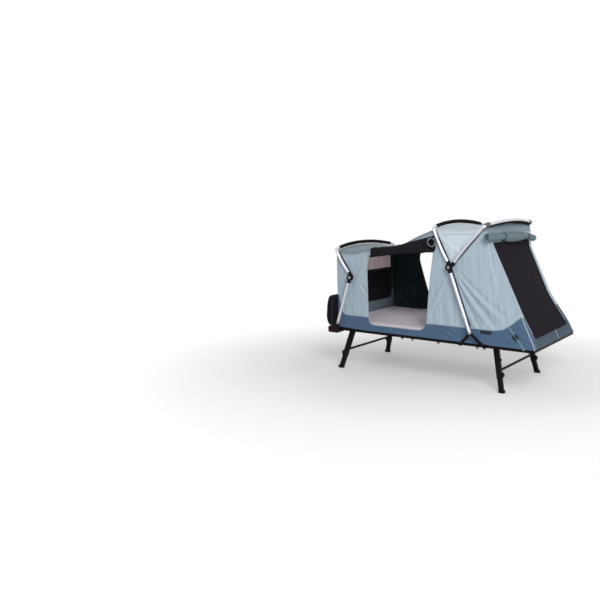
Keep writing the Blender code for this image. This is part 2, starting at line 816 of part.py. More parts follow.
def hoop_path(hub, corner, rise):
    """A hoop's centre line, from its front foot over the tent to its back foot."""
    angle = direction(hub, corner)
    length = distance(hub, corner)
    bend = HOOP_CORNER_RADIUS
    half = HOOP_PLANE - bend
    flat = []
    leg_steps = 4
    for k in range(leg_steps + 1):
        flat.append((HOOP_PLANE, POLE_START + (length - bend - POLE_START) * k / leg_steps))
    for k in range(1, 4):
        turn = k * pi / 2 / 4
        flat.append((half + bend * cos(turn), length - bend + bend * sin(turn)))
    arch_steps = 8
    for k in range(arch_steps + 1):
        y = half * (1 - k / arch_steps)
        flat.append((y, length + rise * (1 - (y / half) ** 2)))
    flat = [(-y, up) for y, up in flat] + [(y, up) for y, up in reversed(flat[:-1])]
    path = []
    for y, up in flat:
        bow = HOOP_BOW * sin(pi * up / length) if up < length else 0
        path.append(
            at(
                hub[0] + up * cos(angle) - bow * sin(angle),
                y,
                hub[1] + up * sin(angle) + bow * cos(angle),
            )
        )
    return path


def make_hoop(name, hub, corner, rise, layer):
    """A bent tube with a flat eye in each foot, and the cloth sleeve along its arch."""
    path = hoop_path(hub, corner, rise)
    hoop = sleeve(name, path, POLE_RADIUS - POLE_WALL, POLE_RADIUS, POLE_SIDES, SILVER)
    angle = direction(hub, corner)
    low, high = layer
    for side, sign in SIDES:
        eye = plate(
            f"{name}_{side}_eye",
            eye_outline(hub, angle, EYE_REACH, EYE_HALF_WIDTH),
            [circle(hub, STUD_RADIUS + STUD_CLEAR, 12)],
            side_frame(min(sign * low, sign * high)),
            high - low,
            BLACK_METAL,
        )
        combine(hoop, eye, "UNION")
    sleeve(
        f"{name}_sleeve",
        path,
        POLE_RADIUS + CLEAR,
        POLE_RADIUS + SLEEVE_WALL,
        POLE_SIDES,
        SLEEVE_FABRIC,
        lambda point: abs(point.y) <= SLEEVE_REACH,
    )


def make_pole(name, base, hub, side, sign):
    """A straight tube from its base bracket to its hub."""
    angle = direction(base, hub)
    length = distance(base, hub)
    ends = []
    for reach in (POLE_START, length - HUB_RADIUS - CLEAR):
        ends.append(
            at(base[0] + reach * cos(angle), sign * POLE_PLANE, base[1] + reach * sin(angle))
        )
    pole = rod(name, ends[0], ends[1], POLE_RADIUS, SILVER, 16, POLE_RADIUS - POLE_WALL)
    low = POLE_PLANE - EAR_THICKNESS
    high = POLE_PLANE + EAR_THICKNESS
    eye = plate(
        f"{name}_eye",
        eye_outline(base, angle, EYE_REACH, EYE_HALF_WIDTH),
        [circle(base, STUD_RADIUS + STUD_CLEAR, 12)],
        side_frame(min(sign * low, sign * high)),
        high - low,
        BLACK_METAL,
    )
    combine(pole, eye, "UNION")


def make_hub(name, hub, sign):
    """A round hub with the stud that the hoops turn on."""
    low = POLE_PLANE - HUB_THICKNESS / 2 + CLEAR
    high = POLE_PLANE + HUB_THICKNESS / 2
    made = rod(
        name,
        at(hub[0], sign * low, hub[1]),
        at(hub[0], sign * high, hub[1]),
        HUB_RADIUS,
        BLACK_PLASTIC,
        24,
    )
    stud = rod(
        f"{name}_stud",
        at(hub[0], sign * (HOOP_PLANE - POLE_RADIUS), hub[1]),
        at(hub[0], sign * (high + FACE_MARGIN * 6), hub[1]),
        STUD_RADIUS,
        BLACK_METAL,
        12,
    )
    combine(made, stud, "UNION")


def make_bracket(name, base, feet, sign):
    """A flat bracket on the outside of a rail, with the stud that a pole turns on."""
    outer_face = POLE_PLANE - EAR_THICKNESS - FACE_MARGIN
    inner_face = outer_face - BRACKET_THICKNESS
    half = BRACKET_BAR / 2
    foot_top = RAIL_BOTTOM + BRACKET_FOOT_HEIGHT
    whole = None
    for k, foot in enumerate(feet):
        angle = direction(base, (foot, RAIL_BOTTOM + BRACKET_FOOT_HEIGHT / 2))
        reach = distance(base, (foot, RAIL_BOTTOM + BRACKET_FOOT_HEIGHT / 2))
        bar = plate(
            name if whole is None else f"{name}_bar_{k}",
            eye_outline(base, angle, reach, half),
            [],
            side_frame(min(sign * inner_face, sign * outer_face)),
            BRACKET_THICKNESS,
            BLACK_METAL,
        )
        if whole is None:
            whole = bar
        else:
            combine(whole, bar, "UNION")
    for k, foot in enumerate(feet):
        low, high = sorted(
            (sign * (PLATFORM_HALF_WIDTH + CLEAR), sign * (outer_face - FACE_MARGIN))
        )
        block = box(
            f"{name}_foot_{k}",
            at(foot - half - FACE_MARGIN, low, RAIL_BOTTOM + FACE_MARGIN),
            at(foot + half + FACE_MARGIN, high, foot_top),
            BLACK_METAL,
        )
        combine(whole, block, "UNION")
    stud = rod(
        f"{name}_stud",
        at(base[0], sign * (inner_face + BRACKET_THICKNESS / 2), base[1]),
        at(base[0], sign * (POLE_PLANE + POLE_RADIUS), base[1]),
        STUD_RADIUS,
        BLACK_METAL,
        12,
    )
    combine(whole, stud, "UNION")


# Fabric


def wall_height(station):
    """The height of a side wall's top edge, which sags between the hoops."""
    hitch, middle, outer = [
        (corner[0], corner[1] - WALL_DROP)
        for corner in (HITCH_CORNER, MIDDLE_CORNER, OUTER_CORNER)
    ]
    if station <= middle[0]:
        share = (station - hitch[0]) / (middle[0] - hitch[0])
        return hitch[1] + (middle[1] - hitch[1]) * share - ROOF_SAG * sin(pi * share)
    share = (station - middle[0]) / (outer[0] - middle[0])
    return middle[1] + (outer[1] - middle[1]) * share - ROOF_SAG / 3 * sin(pi * share)


def arch_climb(hub, corner, rise):
    """How far an arch's top is from its corners along the tent, and how far above them."""
    angle = direction(hub, corner)
    return rise * cos(angle), rise * sin(angle)


def roof_rise(station):
    """How far the roof's middle stands above its shoulders."""
    hitch = arch_climb(HITCH_HUB, HITCH_CORNER, HITCH_RISE)[1] - FACE_MARGIN
    middle = arch_climb(OUTER_HUB, MIDDLE_CORNER, MIDDLE_RISE)[1] - FACE_MARGIN
    outer = arch_climb(OUTER_HUB, OUTER_CORNER, OUTER_RISE)[1] - FACE_MARGIN
    if station <= MIDDLE_CORNER[0]:
        share = (station - HITCH_CORNER[0]) / (MIDDLE_CORNER[0] - HITCH_CORNER[0])
        return (hitch + (middle - hitch) * share) * (1 - 0.7 * sin(pi * share))
    share = (station - MIDDLE_CORNER[0]) / (OUTER_CORNER[0] - MIDDLE_CORNER[0])
    return (middle + (outer - middle) * share) * (1 - 0.4 * sin(pi * share))


def arch_share(y):
    """How high an arch stands at a place across the tent, as a share of its rise."""
    return max(0.0, 1 - (y / (HOOP_PLANE - HOOP_CORNER_RADIUS)) ** 2)


def roof_height(station, y):
    share = min(abs(y) / FABRIC_HALF_WIDTH, 1.0)
    shoulder = WALL_DROP - POLE_RADIUS - SLEEVE_WALL - FABRIC / 2
    rounding = shoulder * sqrt(1 - share**20)
    return wall_height(station) + rounding + roof_rise(station) * arch_share(y)


def lean(z):
    """The outer wall's station at a height."""
    return PLATFORM_LENGTH - FACE_MARGIN - (z - PLATFORM_TOP) * OUTER_WALL_LEAN


def outer_edge(y):
    """Where the roof's surface meets the leaning outer wall."""
    station = OUTER_CORNER[0]
    for _ in range(12):
        station = lean(roof_height(min(station, OUTER_CORNER[0]), y))
    return station, roof_height(min(station, OUTER_CORNER[0]), y)


ROOF_Y = [FABRIC_HALF_WIDTH * sin(k * pi / 2 / 7) for k in range(-7, 8)]


def under(line, depth, half):
    """A cross section of the roof, moved down and in by a depth, from +Y to -Y."""
    made = []
    for k, (y, z) in enumerate(line):
        before, after = line[max(k - 1, 0)], line[min(k + 1, len(line) - 1)]
        along = Vector((after[0] - before[0], after[1] - before[1])).normalized()
        y, z = y + along.y * depth, z - along.x * depth
        made.append((max(-half, min(half, y)), z))
    return list(reversed(made))


def make_roof():
    """One cloth from the hitch hoop, under the middle hoop, to the outer hoop."""
    hitch_rows, outer_rows = 9, 5
    hitch_climb = arch_climb(HITCH_HUB, HITCH_CORNER, HITCH_RISE)[0]
    outer_climb = arch_climb(OUTER_HUB, OUTER_CORNER, OUTER_RISE)[0]
    grid = []
    line = []
    for y in ROOF_Y:
        station = HITCH_CORNER[0] + hitch_climb * arch_share(y)
        line.append(at(station, y, roof_height(HITCH_CORNER[0], y) + CLEAR))
    grid.append(line)
    for k in range(hitch_rows):
        share = k / hitch_rows
        station = HITCH_WALL_STATION + (MIDDLE_CORNER[0] - HITCH_WALL_STATION) * share
        grid.append([at(station, y, roof_height(station, y) + CLEAR) for y in ROOF_Y])
    for k in range(outer_rows + 1):
        line = []
        for y in ROOF_Y:
            end, _ = outer_edge(y)
            station = MIDDLE_CORNER[0] + (end - CLEAR - MIDDLE_CORNER[0]) * k / outer_rows
            line.append(at(station, y, roof_height(station, y) + CLEAR))
        grid.append(line)
    line = []
    for y in ROOF_Y:
        station = OUTER_CORNER[0] + outer_climb * arch_share(y)
        line.append(at(station, y, roof_height(OUTER_CORNER[0], y) + CLEAR))
    grid.append(line)
    sheet("roof", grid, FABRIC, WALL_FABRIC, (0, 0, -1))


def seam_points():
    """The seam between skirt and side wall, from the hitch end to the outer end."""
    low = PLATFORM_TOP + SKIRT_HEIGHT
    hitch_top = low + SKIRT_HITCH_CORNER_RISE
    outer_top = low + SKIRT_OUTER_CORNER_RISE
    before = [
        (HITCH_WALL_STATION, hitch_top),
        (HITCH_WALL_STATION + 2 * FABRIC, hitch_top),
        (0.045, low + 0.060),
        (0.085, low + 0.012),
        (0.130, low),
    ]
    left = DOOR_HITCH_BOTTOM
    right = DOOR_OUTER_BOTTOM
    radius = DOOR_CORNER
    drop = low - DOOR_SILL
    turn = asin(1 - drop / radius)
    door = []
    for k in range(5):
        angle = pi + turn + (pi / 2 - turn) * k / 4
        door.append(
            (left + radius + radius * cos(angle), DOOR_SILL + radius + radius * sin(angle))
        )
    for k in range(5):
        angle = 3 * pi / 2 + (pi / 2 - turn) * k / 4
        door.append(
            (right - radius + radius * cos(angle), DOOR_SILL + radius + radius * sin(angle))
        )
    after = [
        (PLATFORM_LENGTH - 0.785, low - 0.002),
        (PLATFORM_LENGTH - 0.455, low + 0.002),
        (PLATFORM_LENGTH - 0.385, low + 0.016),
        (PLATFORM_LENGTH - 0.315, low + 0.046),
        (PLATFORM_LENGTH - 0.235, low + 0.108),
        (PLATFORM_LENGTH - 0.175, low + 0.145),
        (lean(outer_top) - 2 * FABRIC, outer_top),
        (lean(outer_top), outer_top),
    ]
    return before, door, after


def hitch_seam():
    """The seam between skirt and hitch wall, from front to back."""
    turn = SEAM_CORNER - FABRIC_HALF_WIDTH
    half = [(turn - 0.027, HITCH_SEAM + 0.020), (turn, HITCH_SEAM)]
    return half + [(-y, z) for y, z in reversed(half)]


def outer_seam():
    """The seam between skirt and outer wall, from front to back."""
    turn = SEAM_CORNER - FABRIC_HALF_WIDTH
    half = [(turn - 0.025, OUTER_SEAM + 0.030), (turn, OUTER_SEAM)]
    return half + [(-y, z) for y, z in reversed(half)]


def make_skirt():
    """The slate band of cloth that stands on the rails all round, dipping under the doors."""
    before, door, after = seam_points()
    side = [*before, *door, *after]
    columns = []
    half = FABRIC_HALF_WIDTH
    bottom_end = PLATFORM_LENGTH - FACE_MARGIN
    for sign in (-1, 1):
        run = side if sign < 0 else list(reversed(side))
        for station, top in run:
            foot = station
            if (station, top) == side[-1]:
                foot = bottom_end
            columns.append((foot, station, sign * half, top, (0, -sign)))
        if sign < 0:
            for y, top in outer_seam():
                columns.append((bottom_end, lean(top), y, top, (-1, 0)))
        else:
            for y, top in reversed(hitch_seam()):
                columns.append((HITCH_WALL_STATION, HITCH_WALL_STATION, y, top, (1, 0)))
    base = PLATFORM_TOP + CLEAR
    count = len(columns)
    corners = {len(side) - 1: (-1, 1), len(side) + 4: (-1, -1)}
    corners[len(side) * 2 + 3] = (1, -1)
    corners[0] = (1, 1)
    bm = bmesh.new()
    loops = [[], [], [], []]
    for k, (foot, head, y, top, inward) in enumerate(columns):
        step = corners.get(k, inward)
        dx, dy = step[0] * FABRIC, step[1] * FABRIC
        loops[0].append(bm.verts.new(at(foot, y, base)))
        loops[1].append(bm.verts.new(at(head, y, top)))
        loops[2].append(bm.verts.new(at(head + dx, y + dy, top)))
        loops[3].append(bm.verts.new(at(foot + dx, y + dy, base)))
    for a in range(4):
        first, second = loops[a], loops[(a + 1) % 4]
        for k in range(count):
            bm.faces.new((first[k - 1], first[k], second[k], second[k - 1]))
    finish("skirt", bm, SKIRT_FABRIC, 50)


def make_side_walls():
    """The pale walls above the skirt, each with an open doorway up to the roof."""
    before, door, after = seam_points()
    gap = CLEAR
    lower = [(s, z + gap) for s, z in before]
    end_station, end_height = outer_edge(FABRIC_HALF_WIDTH)
    top_right = (end_station - CLEAR, wall_height(end_station))
    turn = [(s, z + gap) for s, z in door]
    left_foot = turn[0]
    right_foot = turn[-1]
    upper = []
    count = 12
    for k in range(count + 1):
        station = top_right[0] + (HITCH_WALL_STATION - top_right[0]) * k / count
        upper.append((station, wall_height(station) - ROOF_EDGE_GAP))
    top_of_hole = []
    for k in range(5):
        station = DOOR_HITCH_TOP + (DOOR_OUTER_TOP - DOOR_HITCH_TOP) * k / 4
        top_of_hole.append((station, wall_height(station) - DOOR_TOP_STRIP))
    hitch_edge = [(DOOR_HITCH_BOTTOM + s, PLATFORM_TOP + z) for s, z in DOOR_HITCH_EDGE]
    outer_edges = [(DOOR_OUTER_BOTTOM + s, PLATFORM_TOP + z) for s, z in DOOR_OUTER_EDGE]
    outline = [
        *lower,
        left_foot,
        *hitch_edge,
        *top_of_hole,
        *reversed(outer_edges),
        right_foot,
        *[(s, z + gap) for s, z in after],
        *upper,
    ]
    for side, sign in SIDES:
        outer_face = sign * FABRIC_HALF_WIDTH
        inner_face = sign * (FABRIC_HALF_WIDTH - FABRIC)
        plate(
            f"{side}_wall",
            outline,
            [],
            side_frame(min(outer_face, inner_face)),
            FABRIC,
            WALL_FABRIC,
        )


def make_hitch_wall():
    """The upright wall at the hitch end, with its mesh window."""
    corner_top = PLATFORM_TOP + SKIRT_HEIGHT + SKIRT_HITCH_CORNER_RISE
    half = FABRIC_HALF_WIDTH - FABRIC - CLEAR
    bottom = [(-half, corner_top), *hitch_seam(), (half, corner_top)]
    section = [(y, roof_height(HITCH_WALL_STATION, y)) for y in ROOF_Y]
    top = under(section, FABRIC + CLEAR * 3, half)
    hole = rounded(
        [
            (-HITCH_WINDOW_HALF_WIDTH, HITCH_WINDOW_BOTTOM, HITCH_WINDOW_CORNER),
            (HITCH_WINDOW_HALF_WIDTH, HITCH_WINDOW_BOTTOM, HITCH_WINDOW_CORNER),
            (HITCH_WINDOW_HALF_WIDTH, HITCH_WINDOW_TOP, HITCH_WINDOW_CORNER),
            (-HITCH_WINDOW_HALF_WIDTH, HITCH_WINDOW_TOP, HITCH_WINDOW_CORNER),
        ]
    )
    frame = end_frame(HITCH_WALL_STATION)
    outline = [(y, z + CLEAR) for y, z in bottom] + top
    plate("hitch_wall", outline, [hole], frame, FABRIC, WALL_FABRIC)
    plate("hitch_window", shrink(hole, CLEAR), [], frame, FABRIC, MESH_FABRIC)


def shrink(loop, amount):
    """An outline drawn in a little towards its middle."""
    middle = [sum(p[k] for p in loop) / len(loop) for k in range(2)]
    made = []
    for p in loop:
        away = Vector((p[0] - middle[0], p[1] - middle[1]))
        step = away.normalized() * amount * 1.5
        made.append((p[0] - step.x, p[1] - step.y))
    return made


def make_outer_wall():
    """The leaning wall at the outer end, most of which is a mesh window."""
    slope = sqrt(1 + OUTER_WALL_LEAN**2)
    up = Vector((-OUTER_WALL_LEAN, 0, 1)) / slope
    out = Vector((1, 0, OUTER_WALL_LEAN)) / slope
    start = at(PLATFORM_LENGTH - FACE_MARGIN, 0, PLATFORM_TOP) - out * FABRIC
    frame = Matrix(
        (
            (0, up.x, out.x, start.x),
            (1, up.y, out.y, start.y),
            (0, up.z, out.z, start.z),
            (0, 0, 0, 1),
        )
    )
    half = FABRIC_HALF_WIDTH - FABRIC - CLEAR
    corner_top = PLATFORM_TOP + SKIRT_HEIGHT + SKIRT_OUTER_CORNER_RISE
    seam = [(-half, corner_top), *outer_seam(), (half, corner_top)]

    def along(z):
        return (z - PLATFORM_TOP) * slope

    section = [(y, along(outer_edge(y)[1])) for y in ROOF_Y]
    top = under(section, FABRIC * slope + CLEAR * 3, half)
    outline = [(y, along(z + FABRIC * OUTER_WALL_LEAN + CLEAR)) for y, z in seam] + top
    low = along(OUTER_WINDOW_BOTTOM)
    high = along(OUTER_WINDOW_TOP)
    hole = rounded(
        [
            (OUTER_WINDOW_FRONT + 0.03, low, OUTER_WINDOW_CORNER),
            (OUTER_WINDOW_BACK - 0.02, low, OUTER_WINDOW_CORNER),
            (OUTER_WINDOW_BACK, high, OUTER_WINDOW_CORNER),
            (OUTER_WINDOW_FRONT, high, OUTER_WINDOW_CORNER),
        ]
    )
    plate("outer_wall", outline, [hole], frame, FABRIC, WALL_FABRIC)
    plate("outer_window", shrink(hole, CLEAR), [], frame, FABRIC, MESH_FABRIC)


def make_mattress():
    """A foam mattress with a slight crown and drawn-in sides."""
    columns, rows = 18, 12
    start, end = MATTRESS_START, MATTRESS_END
    middle = (start + end) / 2
    half = (end - start) / 2
    bottom = PLATFORM_TOP + CLEAR
    top = bottom + MATTRESS_THICKNESS

    def spot(i, j, z, inset):
        u = sin(pi / 2 * (2 * i / columns - 1))
        v = sin(pi / 2 * (2 * j / rows - 1))
        reach_x = half - inset - MATTRESS_PULL * (1 - v * v)
        reach_y = MATTRESS_HALF_WIDTH - inset - MATTRESS_PULL * (1 - u * u)
        return at(middle + u * reach_x, v * reach_y, z), u, v

    bm = bmesh.new()
    upper, lower = {}, {}
    for i in range(columns + 1):
        for j in range(rows + 1):
            point, u, v = spot(i, j, top, 0.006)
            point.z = top - MATTRESS_CROWN * max(abs(u), abs(v)) ** 6
            upper[i, j] = bm.verts.new(point)
            point, u, v = spot(i, j, bottom, 0.004)
            lower[i, j] = bm.verts.new(point)
    for layer in (upper, lower):
        for i in range(columns):
            for j in range(rows):
                bm.faces.new(
                    (layer[i, j], layer[i + 1, j], layer[i + 1, j + 1], layer[i, j + 1])
                )
    rim = [(i, 0) for i in range(columns)] + [(columns, j) for j in range(rows)]
    rim += [(i, rows) for i in range(columns, 0, -1)] + [(0, j) for j in range(rows, 0, -1)]
    belt = []
    for i, j in rim:
        point, u, v = spot(i, j, bottom + MATTRESS_THICKNESS * 0.45, 0.0)
        belt.append(bm.verts.new(point))
    for k, here in enumerate(rim):
        last = rim[k - 1]
        bm.faces.new((lower[last], lower[here], belt[k], belt[k - 1]))
        bm.faces.new((belt[k - 1], belt[k], upper[here], upper[last]))
    finish("mattress", bm, MATTRESS_FABRIC, 50)


# Rolled and hanging cloth


def spiral_outline(radius, per_turn=12):
    """A cloth rolled up, seen from its end, as one closed outline."""
    turns = ROLL_TURNS
    pitch = ROLL_CLOTH + ROLL_GAP
    count = int(turns * per_turn)
    outside, inside = [], []
    for k in range(count + 1):
        angle = 2 * pi * k / per_turn
        reach = radius - pitch * k / per_turn
        outside.append((reach * cos(angle), reach * sin(angle)))
        inside.append(((reach - ROLL_CLOTH) * cos(angle), (reach - ROLL_CLOTH) * sin(angle)))
    return outside + list(reversed(inside))


def make_roll(name, start, end, radius, look):
    """A cloth rolled up along a line."""
    start, end = Vector(start), Vector(end)
    ahead = (end - start).normalized()
    side = Vector((0, 0, 1)) - ahead * ahead.z
    side.normalize()
    other = ahead.cross(side)
    outline = spiral_outline(radius)
    sections = []
    for share in (0, 0.5, 1):
        middle = start.lerp(end, share)
        sections.append([middle + side * u + other * v for u, v in outline])
    return loft(name, sections, look, 40)


def make_rolls():
    three_quarters = DOOR_ROLL_RADIUS - 0.75 * (ROLL_CLOTH + ROLL_GAP)
    y = -(FABRIC_HALF_WIDTH + CLEAR + three_quarters)
    make_roll(
        "front_door_roll",
        at(DOOR_ROLL_START[0], y, DOOR_ROLL_START[1]),
        at(DOOR_ROLL_END[0], y, DOOR_ROLL_END[1]),
        DOOR_ROLL_RADIUS,
        DARK_LINING,
    )
    slope = sqrt(1 + OUTER_WALL_LEAN**2)
    away = WINDOW_ROLL_RADIUS + TIE_THICKNESS + CLEAR * 3
    station = lean(WINDOW_ROLL_HEIGHT) + away / slope
    height = WINDOW_ROLL_HEIGHT + away * OUTER_WALL_LEAN / slope
    make_roll(
        "outer_window_roll",
        at(station, WINDOW_ROLL_FRONT, height),
        at(station, WINDOW_ROLL_BACK, height),
        WINDOW_ROLL_RADIUS,
        ROLL_FABRIC,
    )
    for (side, _), place in zip(SIDES, WINDOW_TIE_PLACES):
        sleeve(
            f"{side}_window_tie",
            [
                at(station, place - TIE_WIDTH / 2, height),
                at(station, place + TIE_WIDTH / 2, height),
            ],
            WINDOW_ROLL_RADIUS + CLEAR * 2,
            WINDOW_ROLL_RADIUS + CLEAR * 2 + TIE_THICKNESS,
            24,
            STRAP_FABRIC,
        )


def make_curtain():
    """The back door's cloth, gathered to the hitch end and hanging in folds inside."""
    columns, rows = CURTAIN_FOLDS * 4, 5
    plane = FABRIC_HALF_WIDTH - FABRIC - CLEAR - CURTAIN_FOLD_DEPTH
    grid = []
    for i in range(rows + 1):
        share = i / rows
        z = CURTAIN_TOP + (CURTAIN_BOTTOM - CURTAIN_TOP) * share
        end = CURTAIN_TOP_END + (CURTAIN_BOTTOM_END - CURTAIN_TOP_END) * share
        line = []
        for j in range(columns + 1):
            station = CURTAIN_START + (end - CURTAIN_START) * j / columns
            wave = CURTAIN_FOLD_DEPTH * cos(2 * pi * CURTAIN_FOLDS * j / columns)
            line.append(at(station, plane + wave, z))
        grid.append(line)
    sheet("back_door_curtain", grid, FABRIC / 2, DARK_LINING, (0, -1, 0))


def make_pelmet():
    """The pleated beige cloth above the hitch end's window, inside."""
    columns = PELMET_FOLDS * 4
    station = HITCH_WALL_STATION + FABRIC + CLEAR + PELMET_DEPTH
    grid = []
    for z in (PELMET_TOP, (PELMET_TOP + PELMET_BOTTOM) / 2, PELMET_BOTTOM):
        swing = PELMET_DEPTH * (0.4 if z == PELMET_TOP else 1.0)
        line = []
        for j in range(columns + 1):
            y = -PELMET_HALF_WIDTH + 2 * PELMET_HALF_WIDTH * j / columns
            wave = swing * cos(2 * pi * PELMET_FOLDS * j / columns)
            line.append(at(station + wave, y, z))
        grid.append(line)
    sheet("hitch_window_curtain", grid, FABRIC / 2, BEIGE_FABRIC, (1, 0, 0))


def make_corner_strap(side, sign):
    """The webbing that pulls an outer corner down, with its ladder buckle."""
    angle = direction(STRAP_TOP, STRAP_BOTTOM)
    length = distance(STRAP_TOP, STRAP_BOTTOM)
    low = FABRIC_HALF_WIDTH + CLEAR
    name = f"{side}_corner_strap"

    def bar(label, start, end, width, depth, thickness):
        u = [STRAP_TOP[0] + start * cos(angle), STRAP_TOP[1] + start * sin(angle)]
        v = [STRAP_TOP[0] + end * cos(angle), STRAP_TOP[1] + end * sin(angle)]
        across = (-sin(angle) * width / 2, cos(angle) * width / 2)
        outline = [
            (u[0] - across[0], u[1] - across[1]),
            (v[0] - across[0], v[1] - across[1]),
            (v[0] + across[0], v[1] + across[1]),
            (u[0] + across[0], u[1] + across[1]),
        ]
        near, far = sorted((sign * depth, sign * (depth + thickness)))
        return plate(label, outline, [], side_frame(near), far - near, STRAP_FABRIC)

    strap = bar(name, 0, length, STRAP_WIDTH, low, STRAP_THICKNESS)
    middle = length * 0.52
    buckle = bar(
        f"{name}_buckle",
        middle - BUCKLE_LENGTH / 2,
        middle + BUCKLE_LENGTH / 2,
        BUCKLE_WIDTH,
        low + FACE_MARGIN,
        BUCKLE_THICKNESS,
    )
    combine(strap, buckle, "UNION")


# Hitch end


def make_hitch_arm():
    """The square tube under the platform, the shank that slides in it, and its pin."""
    centre = SHANK_MIDDLE
    hollow_bar(
        "receiver_tube",
        Matrix.Translation(at(SLEEVE_TUBE_START, 0, centre)) @ ALONG,
        RECEIVER_SIZE,
        RECEIVER_SIZE,
        SLEEVE_TUBE_WALL,
        SLEEVE_TUBE_END - SLEEVE_TUBE_START,
        BLACK_METAL,
    )
    shank = hollow_bar(
        "hitch_shank",
        Matrix.Translation(at(-SHANK_REACH, 0, centre)) @ ALONG,
        SHANK_SIZE,
        SHANK_SIZE,
        SHANK_WALL,
        SHANK_REACH + SHANK_INSIDE,
        BLACK_METAL,
    )
    reach = SHANK_SIZE / 2 + 0.010
    hole = rod(
        "hitch_shank_pin_hole",
        at(HITCH_PIN_STATION, -reach, centre),
        at(HITCH_PIN_STATION, reach, centre),
        HITCH_PIN_RADIUS + STUD_CLEAR,
        BLACK_METAL,
        16,
    )
    combine(shank, hole, "DIFFERENCE")
    bend = 2 * HITCH_PIN_RADIUS
    path = [at(HITCH_PIN_STATION, reach + 0.006, centre), at(HITCH_PIN_STATION, -reach, centre)]
    for k in range(1, 5):
        angle = k * pi / 2 / 4
        path.append(
            at(
                HITCH_PIN_STATION,
                -reach - bend * sin(angle),
                centre - bend + bend * cos(angle),
            )
        )
    path.append(at(HITCH_PIN_STATION, -reach - bend, centre - bend - HITCH_PIN_HANDLE))
    tube("hitch_pin", path, HITCH_PIN_RADIUS, 12, SILVER)


def make_travel_cover():
    """The black travel cover, folded down against the hitch end of the platform."""
    outline = [
        (0.0028, 0.0),
        (0.0028, 0.175),
        (0.034, 0.553),
        (0.079, 0.822),
        (0.202, 0.989),
        (0.348, 1.0),
        (0.449, 0.943),
        (0.517, 0.863),
        (0.584, 0.946),
        (0.685, 0.970),
        (0.820, 0.916),
        (0.933, 0.741),
        (1.0, 0.485),
        (0.966, 0.229),
        (0.854, 0.067),
        (0.674, 0.0),
    ]
    profile = [(-COVER_DEPTH * u, COVER_BOTTOM + COVER_HEIGHT * v) for u, v in outline]
    middle = (-0.45 * COVER_DEPTH, COVER_BOTTOM + 0.445 * COVER_HEIGHT)
    sections = []
    half = COVER_HALF_LENGTH
    for y, size in (
        (-half, 0.80),
        (-half + 0.012, 0.95),
        (-half + 0.040, 1.0),
        (half - 0.040, 1.0),
        (half - 0.012, 0.95),
        (half, 0.80),
    ):
        sections.append(
            [
                at(middle[0] + (s - middle[0]) * size, y, middle[1] + (z - middle[1]) * size)
                for s, z in profile
            ]
        )
    loft("travel_cover", sections, COVER_FABRIC)


def make_lights():
    """The lamp blocks under the folded cover."""
    for side, sign in SIDES:
        low, high = sorted((sign * COVER_HALF_LENGTH, sign * (COVER_HALF_LENGTH - LIGHT_LENGTH)))
        plate(
            f"{side}_lamp",
            rounded(
                [
                    (-FACE_MARGIN, LIGHT_BOTTOM + 0.020, 0),
                    (-FACE_MARGIN, LIGHT_TOP, 0),
                    (-LIGHT_DEPTH, LIGHT_TOP, 0.010),
                    (-LIGHT_DEPTH, LIGHT_BOTTOM, 0.018),
                    (-0.020, LIGHT_BOTTOM, 0.010),
                ],
                3,
            ),
            [],
            side_frame(low),
            high - low,
            RED_PLASTIC,
        )


def place_pivots():
    """Puts an empty on each joint's axis, with the pieces that the joint moves."""
    for end, base, hub, hoops in (
        ("hitch", HITCH_BASE, HITCH_HUB, ("hitch_hoop",)),
        ("outer", OUTER_BASE, OUTER_HUB, ("middle_hoop", "outer_hoop")),
    ):
        poles = [f"{end}_{kind}_{side}" for kind in ("pole", "hub") for side, sign in SIDES]
        pole_pivot = pivot(f"{end}_pole_pivot", at(base[0], 0, base[1]), poles)
        for hoop in hoops:
            cloth = f"{hoop}_sleeve"
            pivot(f"{hoop}_pivot", at(hub[0], 0, hub[1]), [hoop, cloth], pole_pivot)
    for end, top, foot, outward in ENDS:
        frame_piece = f"{end}_leg_frame"
        turn = pivot(f"{end}_leg_pivot", at(top, 0, LEG_HINGE_HEIGHT), [frame_piece])
        for side, sign in SIDES:
            frame, length = leg_axes(top, foot, sign)
            knob_place = frame @ Vector((0, 0, along_leg(KNOB_HEIGHT, length)))
            sole = frame @ Vector((0, 0, length))
            pivot(f"{end}_{side}_leg_slide", sole, [f"{end}_{side}_foot"], turn)
            pivot(f"{end}_{side}_knob_pivot", knob_place, [f"{end}_{side}_knob"], turn)
    shank = pivot("shank_slide", at(0, 0, SHANK_MIDDLE), ["hitch_shank"])
    pin_place = at(HITCH_PIN_STATION, 0, SHANK_MIDDLE)
    pivot("hitch_pin_slide", pin_place, ["hitch_pin"], shank)


